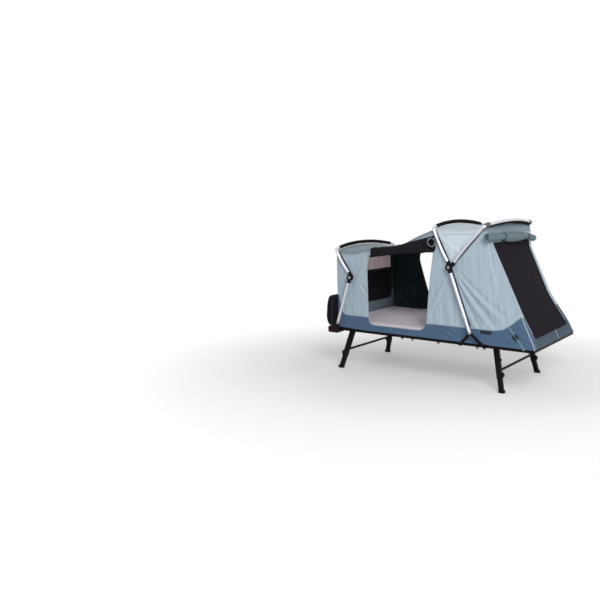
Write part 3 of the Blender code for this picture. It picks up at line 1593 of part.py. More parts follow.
def make_all():
    make_rails()
    for end, top, foot, outward in ENDS:
        make_leg_beam(end, top)
        make_leg_frame(end, top, foot, outward)
        for side, sign in SIDES:
            make_inner_leg(end, side, top, foot, sign)
            make_knob(end, side, top, foot, sign, outward)
    inner = (HOOP_PLANE - POLE_RADIUS + CLEAR, HOOP_PLANE - CLEAR)
    outer = (HOOP_PLANE + CLEAR, HOOP_PLANE + POLE_RADIUS - CLEAR)
    make_hoop("hitch_hoop", HITCH_HUB, HITCH_CORNER, HITCH_RISE, inner)
    make_hoop("middle_hoop", OUTER_HUB, MIDDLE_CORNER, MIDDLE_RISE, inner)
    make_hoop("outer_hoop", OUTER_HUB, OUTER_CORNER, OUTER_RISE, outer)
    for side, sign in SIDES:
        make_pole(f"hitch_pole_{side}", HITCH_BASE, HITCH_HUB, side, sign)
        make_pole(f"outer_pole_{side}", OUTER_BASE, OUTER_HUB, side, sign)
        make_hub(f"hitch_hub_{side}", HITCH_HUB, sign)
        make_hub(f"outer_hub_{side}", OUTER_HUB, sign)
        make_bracket(f"hitch_pole_bracket_{side}", HITCH_BASE, (HITCH_BASE[0],), sign)
        make_bracket(f"outer_pole_bracket_{side}", OUTER_BASE, OUTER_BRACKET_FEET, sign)
        make_corner_strap(side, sign)
    make_mattress()
    make_skirt()
    make_side_walls()
    make_hitch_wall()
    make_outer_wall()
    make_roof()
    make_rolls()
    make_curtain()
    make_pelmet()
    make_hitch_arm()
    make_travel_cover()
    make_lights()
    place_pivots()


make_all()
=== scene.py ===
"""The look of the hitch tent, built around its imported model.

Metres, +Z up. Places along the tent are stations, measured from the platform's hitch end, as in the
part's source. The front side faces -Y.
"""

import json
from math import acos, asin, atan2, cos, exp, pi, radians, sin, sqrt

import bmesh
import bpy
import numpy as np
from mathutils import Matrix, Vector, noise
from mathutils.geometry import delaunay_2d_cdt


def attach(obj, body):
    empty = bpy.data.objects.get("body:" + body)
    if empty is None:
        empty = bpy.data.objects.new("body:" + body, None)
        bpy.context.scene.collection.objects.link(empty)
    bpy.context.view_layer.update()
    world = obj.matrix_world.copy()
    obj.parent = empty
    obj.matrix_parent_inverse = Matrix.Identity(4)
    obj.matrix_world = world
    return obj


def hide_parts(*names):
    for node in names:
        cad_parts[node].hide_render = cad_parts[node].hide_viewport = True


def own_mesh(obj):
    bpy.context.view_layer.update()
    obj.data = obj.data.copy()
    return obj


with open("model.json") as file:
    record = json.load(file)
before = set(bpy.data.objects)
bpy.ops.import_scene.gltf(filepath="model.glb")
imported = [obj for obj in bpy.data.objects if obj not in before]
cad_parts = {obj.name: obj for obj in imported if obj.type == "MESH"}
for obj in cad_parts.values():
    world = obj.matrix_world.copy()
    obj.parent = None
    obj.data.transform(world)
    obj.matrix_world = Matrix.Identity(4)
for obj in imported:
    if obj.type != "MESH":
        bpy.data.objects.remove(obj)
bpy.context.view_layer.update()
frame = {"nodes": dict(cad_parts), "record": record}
NODES = frame["nodes"]

# The part's own sizes
STATION_ZERO = -0.9925
LENGTH = 2.285
SKIRT_END = LENGTH - 0.0005
TOP = 0.506
HALF_WIDTH = 0.655
RAIL_BOTTOM = 0.466
CLOTH = 0.643
SKIRT_FOOT = TOP + 0.0008
HOOP_PLANE = 0.668
POLE_PLANE = 0.706
POLE_RADIUS = 0.017
HOOP_BEND = 0.045
HOOP_BOW = 0.012
FOOT_START = 0.046
WALL_DROP = 0.066
ROOF_SAG = 0.055
ROOF_DIP = 0.042
# The roof's deeper dips: (station, share), and how wide they are
DIPS = ((0.76, 1.0), (0.18, 0.43))
DIP_WIDTH = 0.16
LEAN = 0.466
HITCH_WALL = 0.002
SKIRT_LINE = TOP + 0.138
HITCH_CORNER_SEAM = 0.871
OUTER_CORNER_SEAM = 0.801
HITCH_BASE = (0.040, 0.554)
HITCH_HUB = (0.198, 1.089)
HITCH_CORNER = (-0.024, 1.405)
OUTER_BASE = (1.640, 0.606)
OUTER_HUB = (1.390, 1.267)
MIDDLE_CORNER = (1.182, 1.674)
OUTER_CORNER = (1.754, 1.702)
HITCH_RISE, MIDDLE_RISE, OUTER_RISE = 0.060, 0.050, 0.050
DOOR_LEFT = ((0.397, 0.854), (0.384, 1.120), (0.381, 1.245), (0.394, 1.305))
DOOR_RIGHT = ((1.131, 0.741), (1.140, 0.913), (1.150, 1.063), (1.162, 1.212), (1.181, 1.381))
DOOR_FOOT = (0.408, 1.127)
DOOR_HEAD = (0.430, 1.194)
DOOR_SILL = 0.560
DOOR_CORNERS = (0.070, 0.110)
DOOR_TOP_STRIP = 0.022
HITCH_SEAM, OUTER_SEAM = 0.712, 0.560
EDGE_BOW = (0.090, 0.045)
SEAM_TURN = 0.575
SIDES = (("front", -1), ("back", 1))

# How the cloth is drawn
NET = 0.014
THICK = 0.0016
# The radius at which a turned shape ends in a point
POINT = 0.00005
# The skirt's foot: how far it stands out over the side rails and the outer one, and from what height
FOOT_OUT, FOOT_BEHIND, FOOT_RISE = 0.0137, 0.0020, 0.026
# The hollow back edge: the heights between which it starts and ends, and its reach along the wall
HOLLOW_LOW, HOLLOW_HIGH, HOLLOW_REACH = (0.54, 0.98), (1.42, 1.66), 0.60
# How far the hitch wall's top goes toward the hoop, and the power of its curve up to there
TOP_SHARE, TOP_CURVE = 0.8, 0.45


def at(station, y, z):
    return Vector((station + STATION_ZERO, y, z))


# Materials


class Tree:
    """A tree of nodes."""

    def __init__(self, tree):
        self.tree = tree

    def set(self, node, **values):
        for key, value in values.items():
            node.inputs[key.replace("_", " ")].default_value = value

    def node(self, kind, links=(), settings=(), **values):
        made = self.tree.nodes.new(kind)
        for key, value in dict(settings).items():
            setattr(made, key, value)
        self.set(made, **values)
        for key, source in dict(links).items():
            self.tree.links.new(source, made.inputs[key])
        return made

    def maths(self, a, b, operation="ADD", clamp=False):
        """An operation on a socket and on another socket or a number."""
        made = self.node("ShaderNodeMath", {0: a}, {"operation": operation, "use_clamp": clamp})
        if isinstance(b, (int, float)):
            made.inputs[1].default_value = b
        else:
            self.tree.links.new(b, made.inputs[1])
        return made.outputs[0]

    def sight(self):
        """1 for what is seen: straight, by reflection or through glass."""
        rays = self.node("ShaderNodeLightPath").outputs
        seen = self.maths(rays["Is Camera Ray"], rays["Is Glossy Ray"], "MAXIMUM")
        return self.maths(seen, rays["Is Transmission Ray"], "MAXIMUM")


class Look(Tree):
    """A material whose colour, roughness and relief come from nodes."""

    def __init__(self, name, colour, roughness, metallic=0.0, **sockets):
        self.made = bpy.data.materials.new(name)
        self.made.use_nodes = True
        super().__init__(self.made.node_tree)
        self.shader = self.tree.nodes["Principled BSDF"]
        self.colour = colour
        self.set(self.shader, Base_Color=(*colour, 1), Roughness=roughness, Metallic=metallic)
        self.set(self.shader, **sockets)
        self.place = self.node("ShaderNodeTexCoord").outputs["Object"]
        self.relief = None

    def stretch(self, scale):
        """The texture place, stretched along the axes."""
        return self.node("ShaderNodeMapping", {"Vector": self.place}, Scale=scale).outputs[0]

    def noise(self, scale, detail=2.0, place=None):
        links = {"Vector": place or self.place}
        made = self.node("ShaderNodeTexNoise", links, Scale=scale, Detail=detail, Roughness=0.5)
        return made.outputs["Fac"]

    def band(self, axis, period, place=None):
        """Even waves across an axis, with a period in metres."""
        settings = {"wave_type": "BANDS", "bands_direction": axis}
        links = {"Vector": place or self.place}
        made = self.node("ShaderNodeTexWave", links, settings, Scale=0.314 / period, Distortion=0.0)
        return made.outputs["Fac"]

    def ramp(self, source, low, high):
        """A number moved from 0…1 to low…high."""
        made = self.node("ShaderNodeMapRange", {"Value": source}, To_Min=low, To_Max=high)
        return made.outputs[0]

    def tint(self, share, other):
        """Mixes another colour in, where the share says so."""
        base = self.shader.inputs["Base Color"]
        mix = self.node("ShaderNodeMix", {"Factor": share}, {"data_type": "RGBA"})
        mix.inputs["B"].default_value = (*other, 1)
        if base.is_linked:
            self.tree.links.new(base.links[0].from_socket, mix.inputs["A"])
        else:
            mix.inputs["A"].default_value = (*self.colour, 1)
        self.tree.links.new(mix.outputs["Result"], base)

    def mottle(self, scale, amount, detail=3.0):
        """Cloudy lighter and darker patches."""
        share = self.ramp(self.noise(scale, detail), -0.9, 1.9)
        darker = [c * (1 - amount) for c in self.colour]
        lighter = [min(1.0, c * (1 + amount)) for c in self.colour]
        self.tint(self.ramp(share, 0.0, 1.0), darker)
        self.tint(self.ramp(self.noise(scale * 1.7, detail), -1.0, 1.2), lighter)

    def bump(self, source, distance):
        links = {"Height": source}
        if self.relief:
            links["Normal"] = self.relief
        self.relief = self.node("ShaderNodeBump", links, Distance=distance, Strength=1.0).outputs[0]
        self.tree.links.new(self.relief, self.shader.inputs["Normal"])

    def weave(self, period, distance):
        """Threads that cross, from waves along the axes."""
        total = self.band("X", period)
        for axis in "YZ":
            total = self.maths(total, self.band(axis, period))
        self.bump(total, distance)

    def rough(self, scale, low, high):
        roughness = self.ramp(self.noise(scale, 3.0), low, high)
        self.tree.links.new(roughness, self.shader.inputs["Roughness"])


def cloth(name, colour, period=0.0018, relief=0.00022, amount=0.07, sheen=0.10, shine=0.4):
    look = Look(name, colour, 0.85, Sheen_Weight=sheen, Sheen_Roughness=0.4, Specular_IOR_Level=shine)
    look.mottle(2.6, amount)
    look.mottle(46.0, amount * 0.5, 2.0)
    look.weave(period, relief)
    look.bump(look.noise(300.0, 2.0), 0.0002)
    return look


def metal(name, colour, roughness, metallic, grain, relief, shine=0.5):
    look = Look(name, colour, roughness, metallic, Specular_IOR_Level=shine)
    look.mottle(9.0, 0.08)
    look.rough(24.0, roughness * 0.8, roughness * 1.25)
    look.bump(look.noise(grain, 2.0), relief)
    return look


def tape(name, colour, thread, width, shine=0.4):
    """Woven tape that is stitched along both edges. Its texture runs along the strip's own length."""
    look = Look(name, colour, 0.8, Sheen_Weight=0.04, Specular_IOR_Level=shine)
    run = look.node("ShaderNodeUVMap", settings={"uv_map": "run"}).outputs[0]
    look.mottle(60.0, 0.08)
    look.bump(look.band("X", 0.0016, run), 0.0002)
    across = look.node("ShaderNodeSeparateXYZ", {0: run}).outputs[1]
    dash = look.maths(look.band("X", 0.0055, run), 0.35, "GREATER_THAN")
    rows = look.maths(look.maths(across, 0.0, "ABSOLUTE"), width * 0.34, "SUBTRACT")
    near = look.maths(look.maths(rows, 0.0, "ABSOLUTE"), 0.0006, "LESS_THAN")
    share = look.maths(dash, near, "MULTIPLY")
    look.tint(share, thread)
    look.bump(share, 0.0004)
    return look


SILVER = metal("anodised_aluminium", (0.64, 0.65, 0.70), 0.30, 0.85, 420.0, 0.00003)
STEEL = metal("bright_steel", (0.46, 0.46, 0.48), 0.25, 1.0, 600.0, 0.00002)
FRAME_BLACK = metal("black_powder_coat", (0.0050, 0.0050, 0.0068), 0.45, 0.0, 900.0, 0.00012, 0.08)
PLASTIC = metal("black_plastic", (0.0055, 0.0055, 0.0065), 0.50, 0.0, 1300.0, 0.00008, 0.10)
# The outer hoop's dark corner caps, painted grey: the grey is painted highlight.
CORNER = metal("dark_corner_block_painted_highlight", (0.110, 0.104, 0.100), 0.5, 0.0, 1300.0, 0.00008, 0.3)
TRIM = metal("rail_trim", (0.0035, 0.0045, 0.0075), 0.6, 0.0, 900.0, 0.0001, 0.02)
WALL = cloth("pale_blue_canvas", (0.375, 0.465, 0.535))
# A paler copy of the wall's canvas: painted light, for light coming through the cloth between the hoops' legs
# and on the roof there.
WALL_PAINTED_LIGHT = cloth("blue_canvas_painted_light", (0.560, 0.645, 0.705))
# The roof's canvas, darker than the walls as painted shade, for cloth that faces away from the light; the
# outer wall's part under the roof's edge takes it too.
ROOF_PAINTED_SHADE = cloth("shaded_blue_canvas", (0.224, 0.290, 0.336))
SKIRT = cloth("slate_blue_canvas", (0.072, 0.130, 0.218), 0.0022, 0.0003, 0.14, 0.06, 0.3)
# Skirt-coloured cloth, darker as painted shade, for the band below the outer window and the outer end's
# skirt.
BAND_PAINTED_SHADE = cloth("slate_band_painted_shade", (0.048, 0.075, 0.110), 0.0022, 0.0003, 0.12, 0.05, 0.3)
LINING = cloth("dark_lining", (0.020, 0.027, 0.032), 0.0020, 0.0002, 0.15, 0.03, 0.1)
GREY_LINING = cloth("grey_lining", (0.040, 0.052, 0.066), 0.0022, 0.0002, 0.12, 0.04, 0.2)
PLEATED = cloth("pleated_lining", (0.150, 0.180, 0.220), 0.0022, 0.0002, 0.12, 0.04, 0.2)
ROLL = cloth("grey_blue_lining", (0.100, 0.147, 0.172), 0.0018, 0.0002, 0.08)
ROLL_LIGHT = cloth("pale_roll_lining", (0.300, 0.390, 0.430), 0.0018, 0.0002, 0.08)
DARK_ROLL = cloth("black_door_cloth", (0.0115, 0.0105, 0.0140), 0.0020, 0.0003, 0.20, 0.03, 0.10)
BACK_DOOR = cloth("back_door_cloth", (0.0180, 0.0300, 0.0340), 0.0020, 0.0003, 0.20, 0.03, 0.10)
# Beige cotton, made paler than its own colour as painted light, for the light from the window behind the
# pelmet.
BEIGE_WITH_PAINTED_LIGHT = cloth("beige_cotton_with_painted_light", (0.860, 0.700, 0.730), 0.0024, 0.0003, 0.09)
MATTRESS = cloth("pale_mattress_cover", (0.690, 0.635, 0.705), 0.0030, 0.0004, 0.05)
COVER = cloth("black_cover_fabric", (0.0075, 0.0075, 0.0095), 0.0026, 0.0003, 0.20, 0.02, 0.08)
SLEEVE = cloth("black_sleeve_cloth", (0.0105, 0.0115, 0.0140), 0.0022, 0.0003, 0.15, 0.0, 0.04)
MESH = cloth("black_mesh", (0.0125, 0.0110, 0.0145), 0.0024, 0.0004, 0.10, 0.0, 0.05)
PIPING = cloth("pale_piping", (0.500, 0.570, 0.610), 0.0016, 0.0002, 0.05)
BLACK_TAPE = tape("black_webbing", (0.0070, 0.0070, 0.0080), (0.022, 0.022, 0.025), 0.024, shine=0.1)
BLUE_TAPE = tape("blue_webbing", (0.125, 0.200, 0.275), (0.26, 0.34, 0.40), 0.025)
WALL_TAPE = tape("wall_seam_tape", (0.350, 0.435, 0.487), (0.41, 0.48, 0.52), 0.012)
SKIRT_TAPE = tape("skirt_seam_tape", (0.080, 0.140, 0.225), (0.17, 0.24, 0.33), 0.012)
FLOOR_BOARD = metal("floor_board", (0.33, 0.33, 0.34), 0.6, 0.0, 300.0, 0.0001)
LENS = Look("red_lamp_lens", (0.020, 0.0025, 0.0040), 0.30, Specular_IOR_Level=0.12)
LENS.mottle(30.0, 0.15)
LENS.bump(LENS.band("Z", 0.007), 0.0006)
for look, scale in ((WALL, 14.0), (WALL_PAINTED_LIGHT, 14.0), (SKIRT, 18.0), (COVER, 22.0)):
    look.bump(look.noise(scale, 4.0, look.stretch((1.0, 1.0, 0.35))), 0.002)


# Mesh helpers


def add(name, mesh, looks, smooth=40, body="platform", node=None):
    """A named piece of the tent that rides on a body, and the solid that it stands for."""
    if isinstance(mesh, bmesh.types.BMesh):
        bm, mesh = mesh, bpy.data.meshes.new(name)
        bmesh.ops.recalc_face_normals(bm, faces=bm.faces)
        bm.to_mesh(mesh)
        bm.free()
    mesh.name = name
    for look in looks:
        mesh.materials.append(look.made)
    mesh.shade_smooth()
    if smooth:
        mesh.set_sharp_from_angle(angle=radians(smooth))
    made = bpy.data.objects.new(name, mesh)
    bpy.context.collection.objects.link(made)
    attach(made, body)
    if node:
        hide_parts(node)
    return made


# A plane for the canopy's cloth to crumple down onto the platform; nothing here reads it
FLAT = {"axis": (0, 0, 1), "anchor": (0, 0, TOP), "keep": 0.112}
# The door's roll hangs outside the wall, so its fold plane sits further inward, clear of the folded poles;
# nothing here reads it.
ROLL_FOLD = {"axis": (0, -0.1400, 0.9902), "anchor": (0, -0.57, 0.588), "keep": 0.02}


def strip(name, mesh, looks, smooth=50, node=None):
    """A piece of the canopy, with a mesh of its own."""
    made = add(name, mesh, looks, smooth, node=node)
    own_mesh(made)
    return made


def cut(name, mesh, looks, node, thickness=THICK, offset=-1.0, lining=0):
    """A cloth of the canopy. lining is how many material slots further the inside's colour is."""
    made = strip(name, mesh, looks, 0, node)
    step = made.modifiers.new("cloth", "SOLIDIFY")
    step.thickness = thickness
    step.offset = offset
    step.material_offset = lining
    return made


def net(points, faces, marks=None):
    mesh = bpy.data.meshes.new("net")
    mesh.from_pydata([tuple(p) for p in points], [], [tuple(f) for f in faces])
    if marks is not None:
        mesh.polygons.foreach_set("material_index", np.array(marks, np.int32))
    mesh.update()
    return mesh


def frames(path):
    """Points of a path with the directions along it, to its side and across, none of them twisted."""
    path = [Vector(p) for p in path]
    ahead = (path[1] - path[0]).normalized()
    side = ahead.orthogonal().normalized()
    if abs(ahead.y) < 0.9:
        side = (Vector((0, 1, 0)) - ahead * ahead.y).normalized()
    made = []
    for k, point in enumerate(path):
        new = (path[min(k + 1, len(path) - 1)] - path[max(k - 1, 0)]).normalized()
        side = (ahead.rotation_difference(new) @ side).normalized()
        ahead = new
        made.append((point, ahead, side, ahead.cross(side)))
    return made


def skin(bm, loops, mark=0, caps=True):
    """Joins loops of points into a wall, with its ends closed."""
    verts = [[bm.verts.new(p) for p in loop] for loop in loops]
    for first, second in zip(verts, verts[1:]):
        for k in range(len(first)):
            face = bm.faces.new((first[k - 1], first[k], second[k], second[k - 1]))
            face.material_index = mark
    if caps:
        for end in (verts[0], verts[-1]):
            bm.faces.new(end).material_index = mark


def ring(middle, side, other, radius, sides):
    """Points round a place. radius may be a function of the angle."""
    made = []
    for n in range(sides):
        angle = n * 2 * pi / sides
        reach = radius(angle) if callable(radius) else radius
        made.append(middle + side * (reach * cos(angle)) + other * (reach * sin(angle)))
    return made


def pipe(bm, path, radius, sides=12, mark=0):
    """A round bar along a path."""
    skin(bm, [ring(point, side, other, radius, sides) for point, _, side, other in frames(path)], mark)


def lathe(bm, start, axis, profile, sides=24):
    """Turns a profile of (radius, height) round an axis."""
    axis = Vector(axis).normalized()
    side = axis.orthogonal().normalized()
    other = axis.cross(side)
    start = Vector(start)
    skin(bm, [ring(start + axis * h, side, other, max(r, POINT), sides) for r, h in profile])


def block(bm, low, high, bevel, place=Matrix.Identity(4)):
    """A box with rounded edges in the axes of a frame."""
    low, high = Vector(low), Vector(high)
    size, middle = high - low, (low + high) / 2
    made = bmesh.ops.create_cube(bm, size=1.0)["verts"]
    for vert in made:
        vert.co = place @ Vector([middle[k] + vert.co[k] * size[k] for k in range(3)])
    edges = list(dict.fromkeys(e for v in made for e in v.link_edges))
    bmesh.ops.bevel(bm, geom=edges, offset=bevel, segments=2, affect="EDGES", profile=0.6, material=-1)


def bolt(bm, start, axis, radius):
    """A button-head bolt with its washer and a socket."""
    lathe(bm, start, axis, [(0, 0), (radius * 1.5, 0), (radius * 1.5, 0.0012), (radius, 0.0012)], 20)
    dome = [(radius * cos(a), 0.0012 + radius * 0.75 * sin(a)) for a in (0, 0.4, 0.8, 1.1)]
    top = dome[-1][1]
    socket = [(radius * 0.4, top), (radius * 0.36, top * 0.5)]
    lathe(bm, start, axis, [(radius, 0.0008), *dome, *socket], 18)


def ribbon(bm, path, normals, width, thickness, mark=0):
    """A flat tape along a path, with its length and width in metres kept as its texture place."""
    layer = bm.loops.layers.uv.get("run") or bm.loops.layers.uv.new("run")
    path = [Vector(p) for p in path]
    rows, walked = [], 0.0
    for k, point in enumerate(path):
        ahead = (path[min(k + 1, len(path) - 1)] - path[max(k - 1, 0)]).normalized()
        normal = Vector(normals[k] if isinstance(normals, list) else normals).normalized()
        side = normal.cross(ahead).normalized()
        if k:
            walked += (point - path[k - 1]).length
        row = []
        for across, height in ((-0.5, 0), (-0.5, 0.7), (-0.38, 1), (0.38, 1), (0.5, 0.7), (0.5, 0)):
            spot = point + side * (width * across) + normal * (thickness * height)
            row.append((bm.verts.new(spot), (walked, width * across)))
        rows.append(row)
    for first, second in zip(rows, rows[1:]):
        for k in range(len(first)):
            corners = (first[k - 1], first[k], second[k], second[k - 1])
            face = bm.faces.new([c[0] for c in corners])
            face.material_index = mark
            for loop, corner in zip(face.loops, corners):
                loop[layer].uv = corner[1]
    for row in (rows[0], rows[-1]):
        bm.faces.new([c[0] for c in row]).material_index = mark


def curve_through(points, steps=6):
    """A smooth line through points."""
    points = [Vector(p) for p in points]
    made = []
    for k in range(len(points) - 1):
        a = points[max(k - 1, 0)]
        b, c = points[k], points[k + 1]
        d = points[min(k + 2, len(points) - 1)]
        for n in range(steps):
            t = n / steps
            made.append(
                0.5
                * (2 * b + (c - a) * t + (2 * a - 5 * b + 4 * c - d) * t**2 + (3 * b - 3 * c + d - a) * t**3)
            )
    made.append(points[-1])
    return [tuple(p) for p in made]


def spaced(points, gap):
    """The same closed line with points no further apart than a gap."""
    made = []
    for a, b in zip(points, [*points[1:], points[0]]):
        a, b = np.array(a, float), np.array(b, float)
        count = max(1, int(np.ceil(np.linalg.norm(b - a) / gap)))
        made += [tuple(a + (b - a) * n / count) for n in range(count)]
    return made


def rounded(corners):
    """An outline whose corners, given as (u, v, radius), are rounded by arcs."""
    count = 8
    loop = []
    for k, (u, v, radius) in enumerate(corners):
        here = Vector((u, v))
        before = (Vector(corners[k - 1][:2]) - here).normalized()
        after = (Vector(corners[(k + 1) % len(corners)][:2]) - here).normalized()
        half = acos(max(-1.0, min(1.0, before.dot(after)))) / 2
        middle = here + (before + after).normalized() * radius / sin(half)
        first = here + before * radius * cos(half) / sin(half) - middle
        last = here + after * radius * cos(half) / sin(half) - middle
        sweep = pi - 2 * half
        for step in range(count + 1):
            share = step / count
            mix = first * sin((1 - share) * sweep) + last * sin(share * sweep)
            loop.append(tuple(middle + mix / sin(sweep)))
    return loop


def line_distance(points, lines):
    """How far each point is from the nearest of the lines, given by their ends."""
    points = np.asarray(points, float)
    nearest = np.full(len(points), 9.0)
    for a, b in np.asarray(lines, float):
        step = b - a
        share = np.clip(((points - a) @ step) / max(step @ step, 1e-12), 0, 1)
        nearest = np.minimum(nearest, np.linalg.norm(points - a - share[:, None] * step, axis=1))
    return nearest


def edge_distance(points, loops):
    """How far each point is from the nearest edge of the loops."""
    return line_distance(points, [pair for loop in loops for pair in zip(loop, [*loop[1:], loop[0]])])


def inside(points, loop):
    loop = np.asarray(loop, float)
    found = np.zeros(len(points), bool)
    for a, b in zip(loop, np.roll(loop, -1, axis=0)):
        if a[1] == b[1]:
            continue
        crosses = (a[1] > points[:, 1]) != (b[1] > points[:, 1])
        reach = a[0] + (points[:, 1] - a[1]) * (b[0] - a[0]) / (b[1] - a[1])
        found ^= crosses & (points[:, 0] < reach)
    return found


def cut_out(outline, holes, gap):
    """A flat cut of cloth as an even net of triangles: its points and faces."""
    loops = [spaced(loop, gap) for loop in (outline, *holes)]
    points, edges = [], []
    for loop in loops:
        first = len(points)
        points += loop
        edges += [(first + k, first + (k + 1) % len(loop)) for k in range(len(loop))]
    low, high = np.min(loops[0], axis=0), np.max(loops[0], axis=0)
    rows = np.arange(low[1], high[1], gap * 0.866)
    fill = [(u, v) for k, v in enumerate(rows) for u in np.arange(low[0] + (k % 2) * gap / 2, high[0], gap)]
    fill = np.array(fill)
    keep = inside(fill, loops[0])
    for hole in loops[1:]:
        keep &= ~inside(fill, hole)
    keep &= edge_distance(fill, loops) > gap * 0.5
    points += [tuple(p) for p in fill[keep]]
    made = delaunay_2d_cdt([Vector(p) for p in points], edges, [], 0, 1e-6, False)
    points = np.array([tuple(p) for p in made[0]])
    faces = np.array([tuple(f) for f in made[2]])
    middles = points[faces].mean(axis=1)
    keep = inside(middles, loops[0])
    for hole in loops[1:]:
        keep &= ~inside(middles, hole)
    return points, [tuple(f) for f in faces[keep]]


def ease(values, low, high):
    share = np.clip((np.asarray(values, float) - low) / (high - low), 0, 1)
    return share * share * (3 - 2 * share)


def ripples(points, angle, along, across, seed):
    """Uneven folds that run along an angle."""
    u = points[:, 0] * cos(angle) + points[:, 1] * sin(angle)
    v = -points[:, 0] * sin(angle) + points[:, 1] * cos(angle)
    return np.array([noise.noise(Vector((a / along, b / across, seed))) for a, b in zip(u, v)])


def fan(points, apex, folds, reach, start=0.05):
    """Folds that run out from a point. Each is (degrees from straight down, width, height, bend)."""
    step = points - np.array(apex)
    radius = np.linalg.norm(step, axis=1)
    angle = np.arctan2(step[:, 0], -step[:, 1])
    fade = ease(radius, start, start + 0.12) * (1 - ease(radius, reach * 0.75, reach * 1.15))
    total = np.zeros(len(points))
    for degrees, width, height, bend in folds:
        off = (angle - radians(degrees) - bend * radius) * np.maximum(radius, 0.02)
        spread = width * (0.5 + 0.9 * radius / reach)
        ridge = np.exp(-((off / spread) ** 2))
        dip = np.exp(-(((off - spread * 1.5) / (spread * 1.2)) ** 2))
        total += height * fade * (ridge - 0.7 * dip)
    return total


# The tent's own shapes


def wall_height(station):
    """The height of a side wall's top edge, which sags between the hoops."""
    ends = [(c[0], c[1] - WALL_DROP) for c in (HITCH_CORNER, MIDDLE_CORNER, OUTER_CORNER)]
    hitch, middle, outer = ends
    if station <= middle[0]:
        share = (station - hitch[0]) / (middle[0] - hitch[0])
        dip = ROOF_DIP * sum(size * exp(-(((station - place) / DIP_WIDTH) ** 2)) for place, size in DIPS)
        return hitch[1] + (middle[1] - hitch[1]) * share - ROOF_SAG * sin(pi * share) - dip
    share = (station - middle[0]) / (outer[0] - middle[0])
    return middle[1] + (outer[1] - middle[1]) * share - ROOF_SAG / 3 * sin(pi * share)


def climb(hub, corner, rise):
    """How far an arch's top is from its corners along the tent, and how far above them."""
    angle = atan2(corner[1] - hub[1], corner[0] - hub[0])
    return rise * cos(angle), rise * sin(angle)


HITCH_CLIMB = climb(HITCH_HUB, HITCH_CORNER, HITCH_RISE)
MIDDLE_CLIMB = climb(OUTER_HUB, MIDDLE_CORNER, MIDDLE_RISE)
OUTER_CLIMB = climb(OUTER_HUB, OUTER_CORNER, OUTER_RISE)


def roof_rise(station):
    low = HITCH_CLIMB, MIDDLE_CLIMB, HITCH_CORNER, MIDDLE_CORNER, 1.12, 0.6
    high = MIDDLE_CLIMB, OUTER_CLIMB, MIDDLE_CORNER, OUTER_CORNER, 0.4, 1.0
    first, last, start, end, sag, power = low if station <= MIDDLE_CORNER[0] else high
    share = min(max((station - start[0]) / (end[0] - start[0]), 0.0), 1.0)
    return (first[1] + (last[1] - first[1]) * share - 0.0005) * (1 - sag * sin(pi * share) ** power)


def arch(y):
    return max(0.0, 1 - (y / (HOOP_PLANE - HOOP_BEND)) ** 2)


def roof_height(station, y):
    share = min(abs(y) / CLOTH, 1.0)
    shoulder = WALL_DROP - POLE_RADIUS - 0.0045
    return wall_height(station) + shoulder * sqrt(1 - share**20) + roof_rise(station) * arch(y)


def lean(z):
    """The outer wall's station at a height."""
    return SKIRT_END - (z - TOP) * LEAN


def outer_edge(y):
    """Where the roof meets the leaning outer wall."""
    station = OUTER_CORNER[0]
    for _ in range(12):
        station = lean(roof_height(min(station, OUTER_CORNER[0]), y))
    return station, roof_height(min(station, OUTER_CORNER[0]), y)


def hitch_edge(y):
    """Where the roof meets the hitch wall, a little inside the hoop."""
    station = HITCH_WALL + (HITCH_CORNER[0] + HITCH_CLIMB[0] * arch(y) - HITCH_WALL) * TOP_SHARE
    low, high = roof_height(HITCH_CORNER[0], y), roof_height(HITCH_WALL, y)
    return station, high + (low - high) * TOP_SHARE


def hitch_station(y, z):
    """The hitch wall's station: upright beside the skirt, then out to the hoop."""
    end, top = hitch_edge(y)
    share = (z - HITCH_CORNER_SEAM) / (top - HITCH_CORNER_SEAM)
    return HITCH_WALL + (end - HITCH_WALL) * max(0.0, min(1.0, share)) ** TOP_CURVE


def hoop_line(hub, corner, rise):
    """A hoop's centre line, from its front foot over the tent to its back foot."""
    legs, arches = 14, 22
    angle = atan2(corner[1] - hub[1], corner[0] - hub[0])
    length = sqrt((corner[0] - hub[0]) ** 2 + (corner[1] - hub[1]) ** 2)
    half = HOOP_PLANE - HOOP_BEND
    reach = length - HOOP_BEND - FOOT_START
    flat = [(HOOP_PLANE, FOOT_START + reach * k / legs) for k in range(legs + 1)]
    turns = [k * pi / 16 for k in range(1, 8)]
    flat += [(half + HOOP_BEND * cos(t), length - HOOP_BEND + HOOP_BEND * sin(t)) for t in turns]
    for k in range(arches + 1):
        y = half * (1 - k / arches)
        flat.append((y, length + rise * (1 - (y / half) ** 2)))
    flat = [(-y, up) for y, up in flat] + [(y, up) for y, up in reversed(flat[:-1])]
    path = []
    for y, up in flat:
        bow = HOOP_BOW * sin(pi * up / length) if up < length else 0
        u, v = up * cos(angle) - bow * sin(angle), up * sin(angle) + bow * cos(angle)
        path.append(at(hub[0] + u, y, hub[1] + v))
    return path


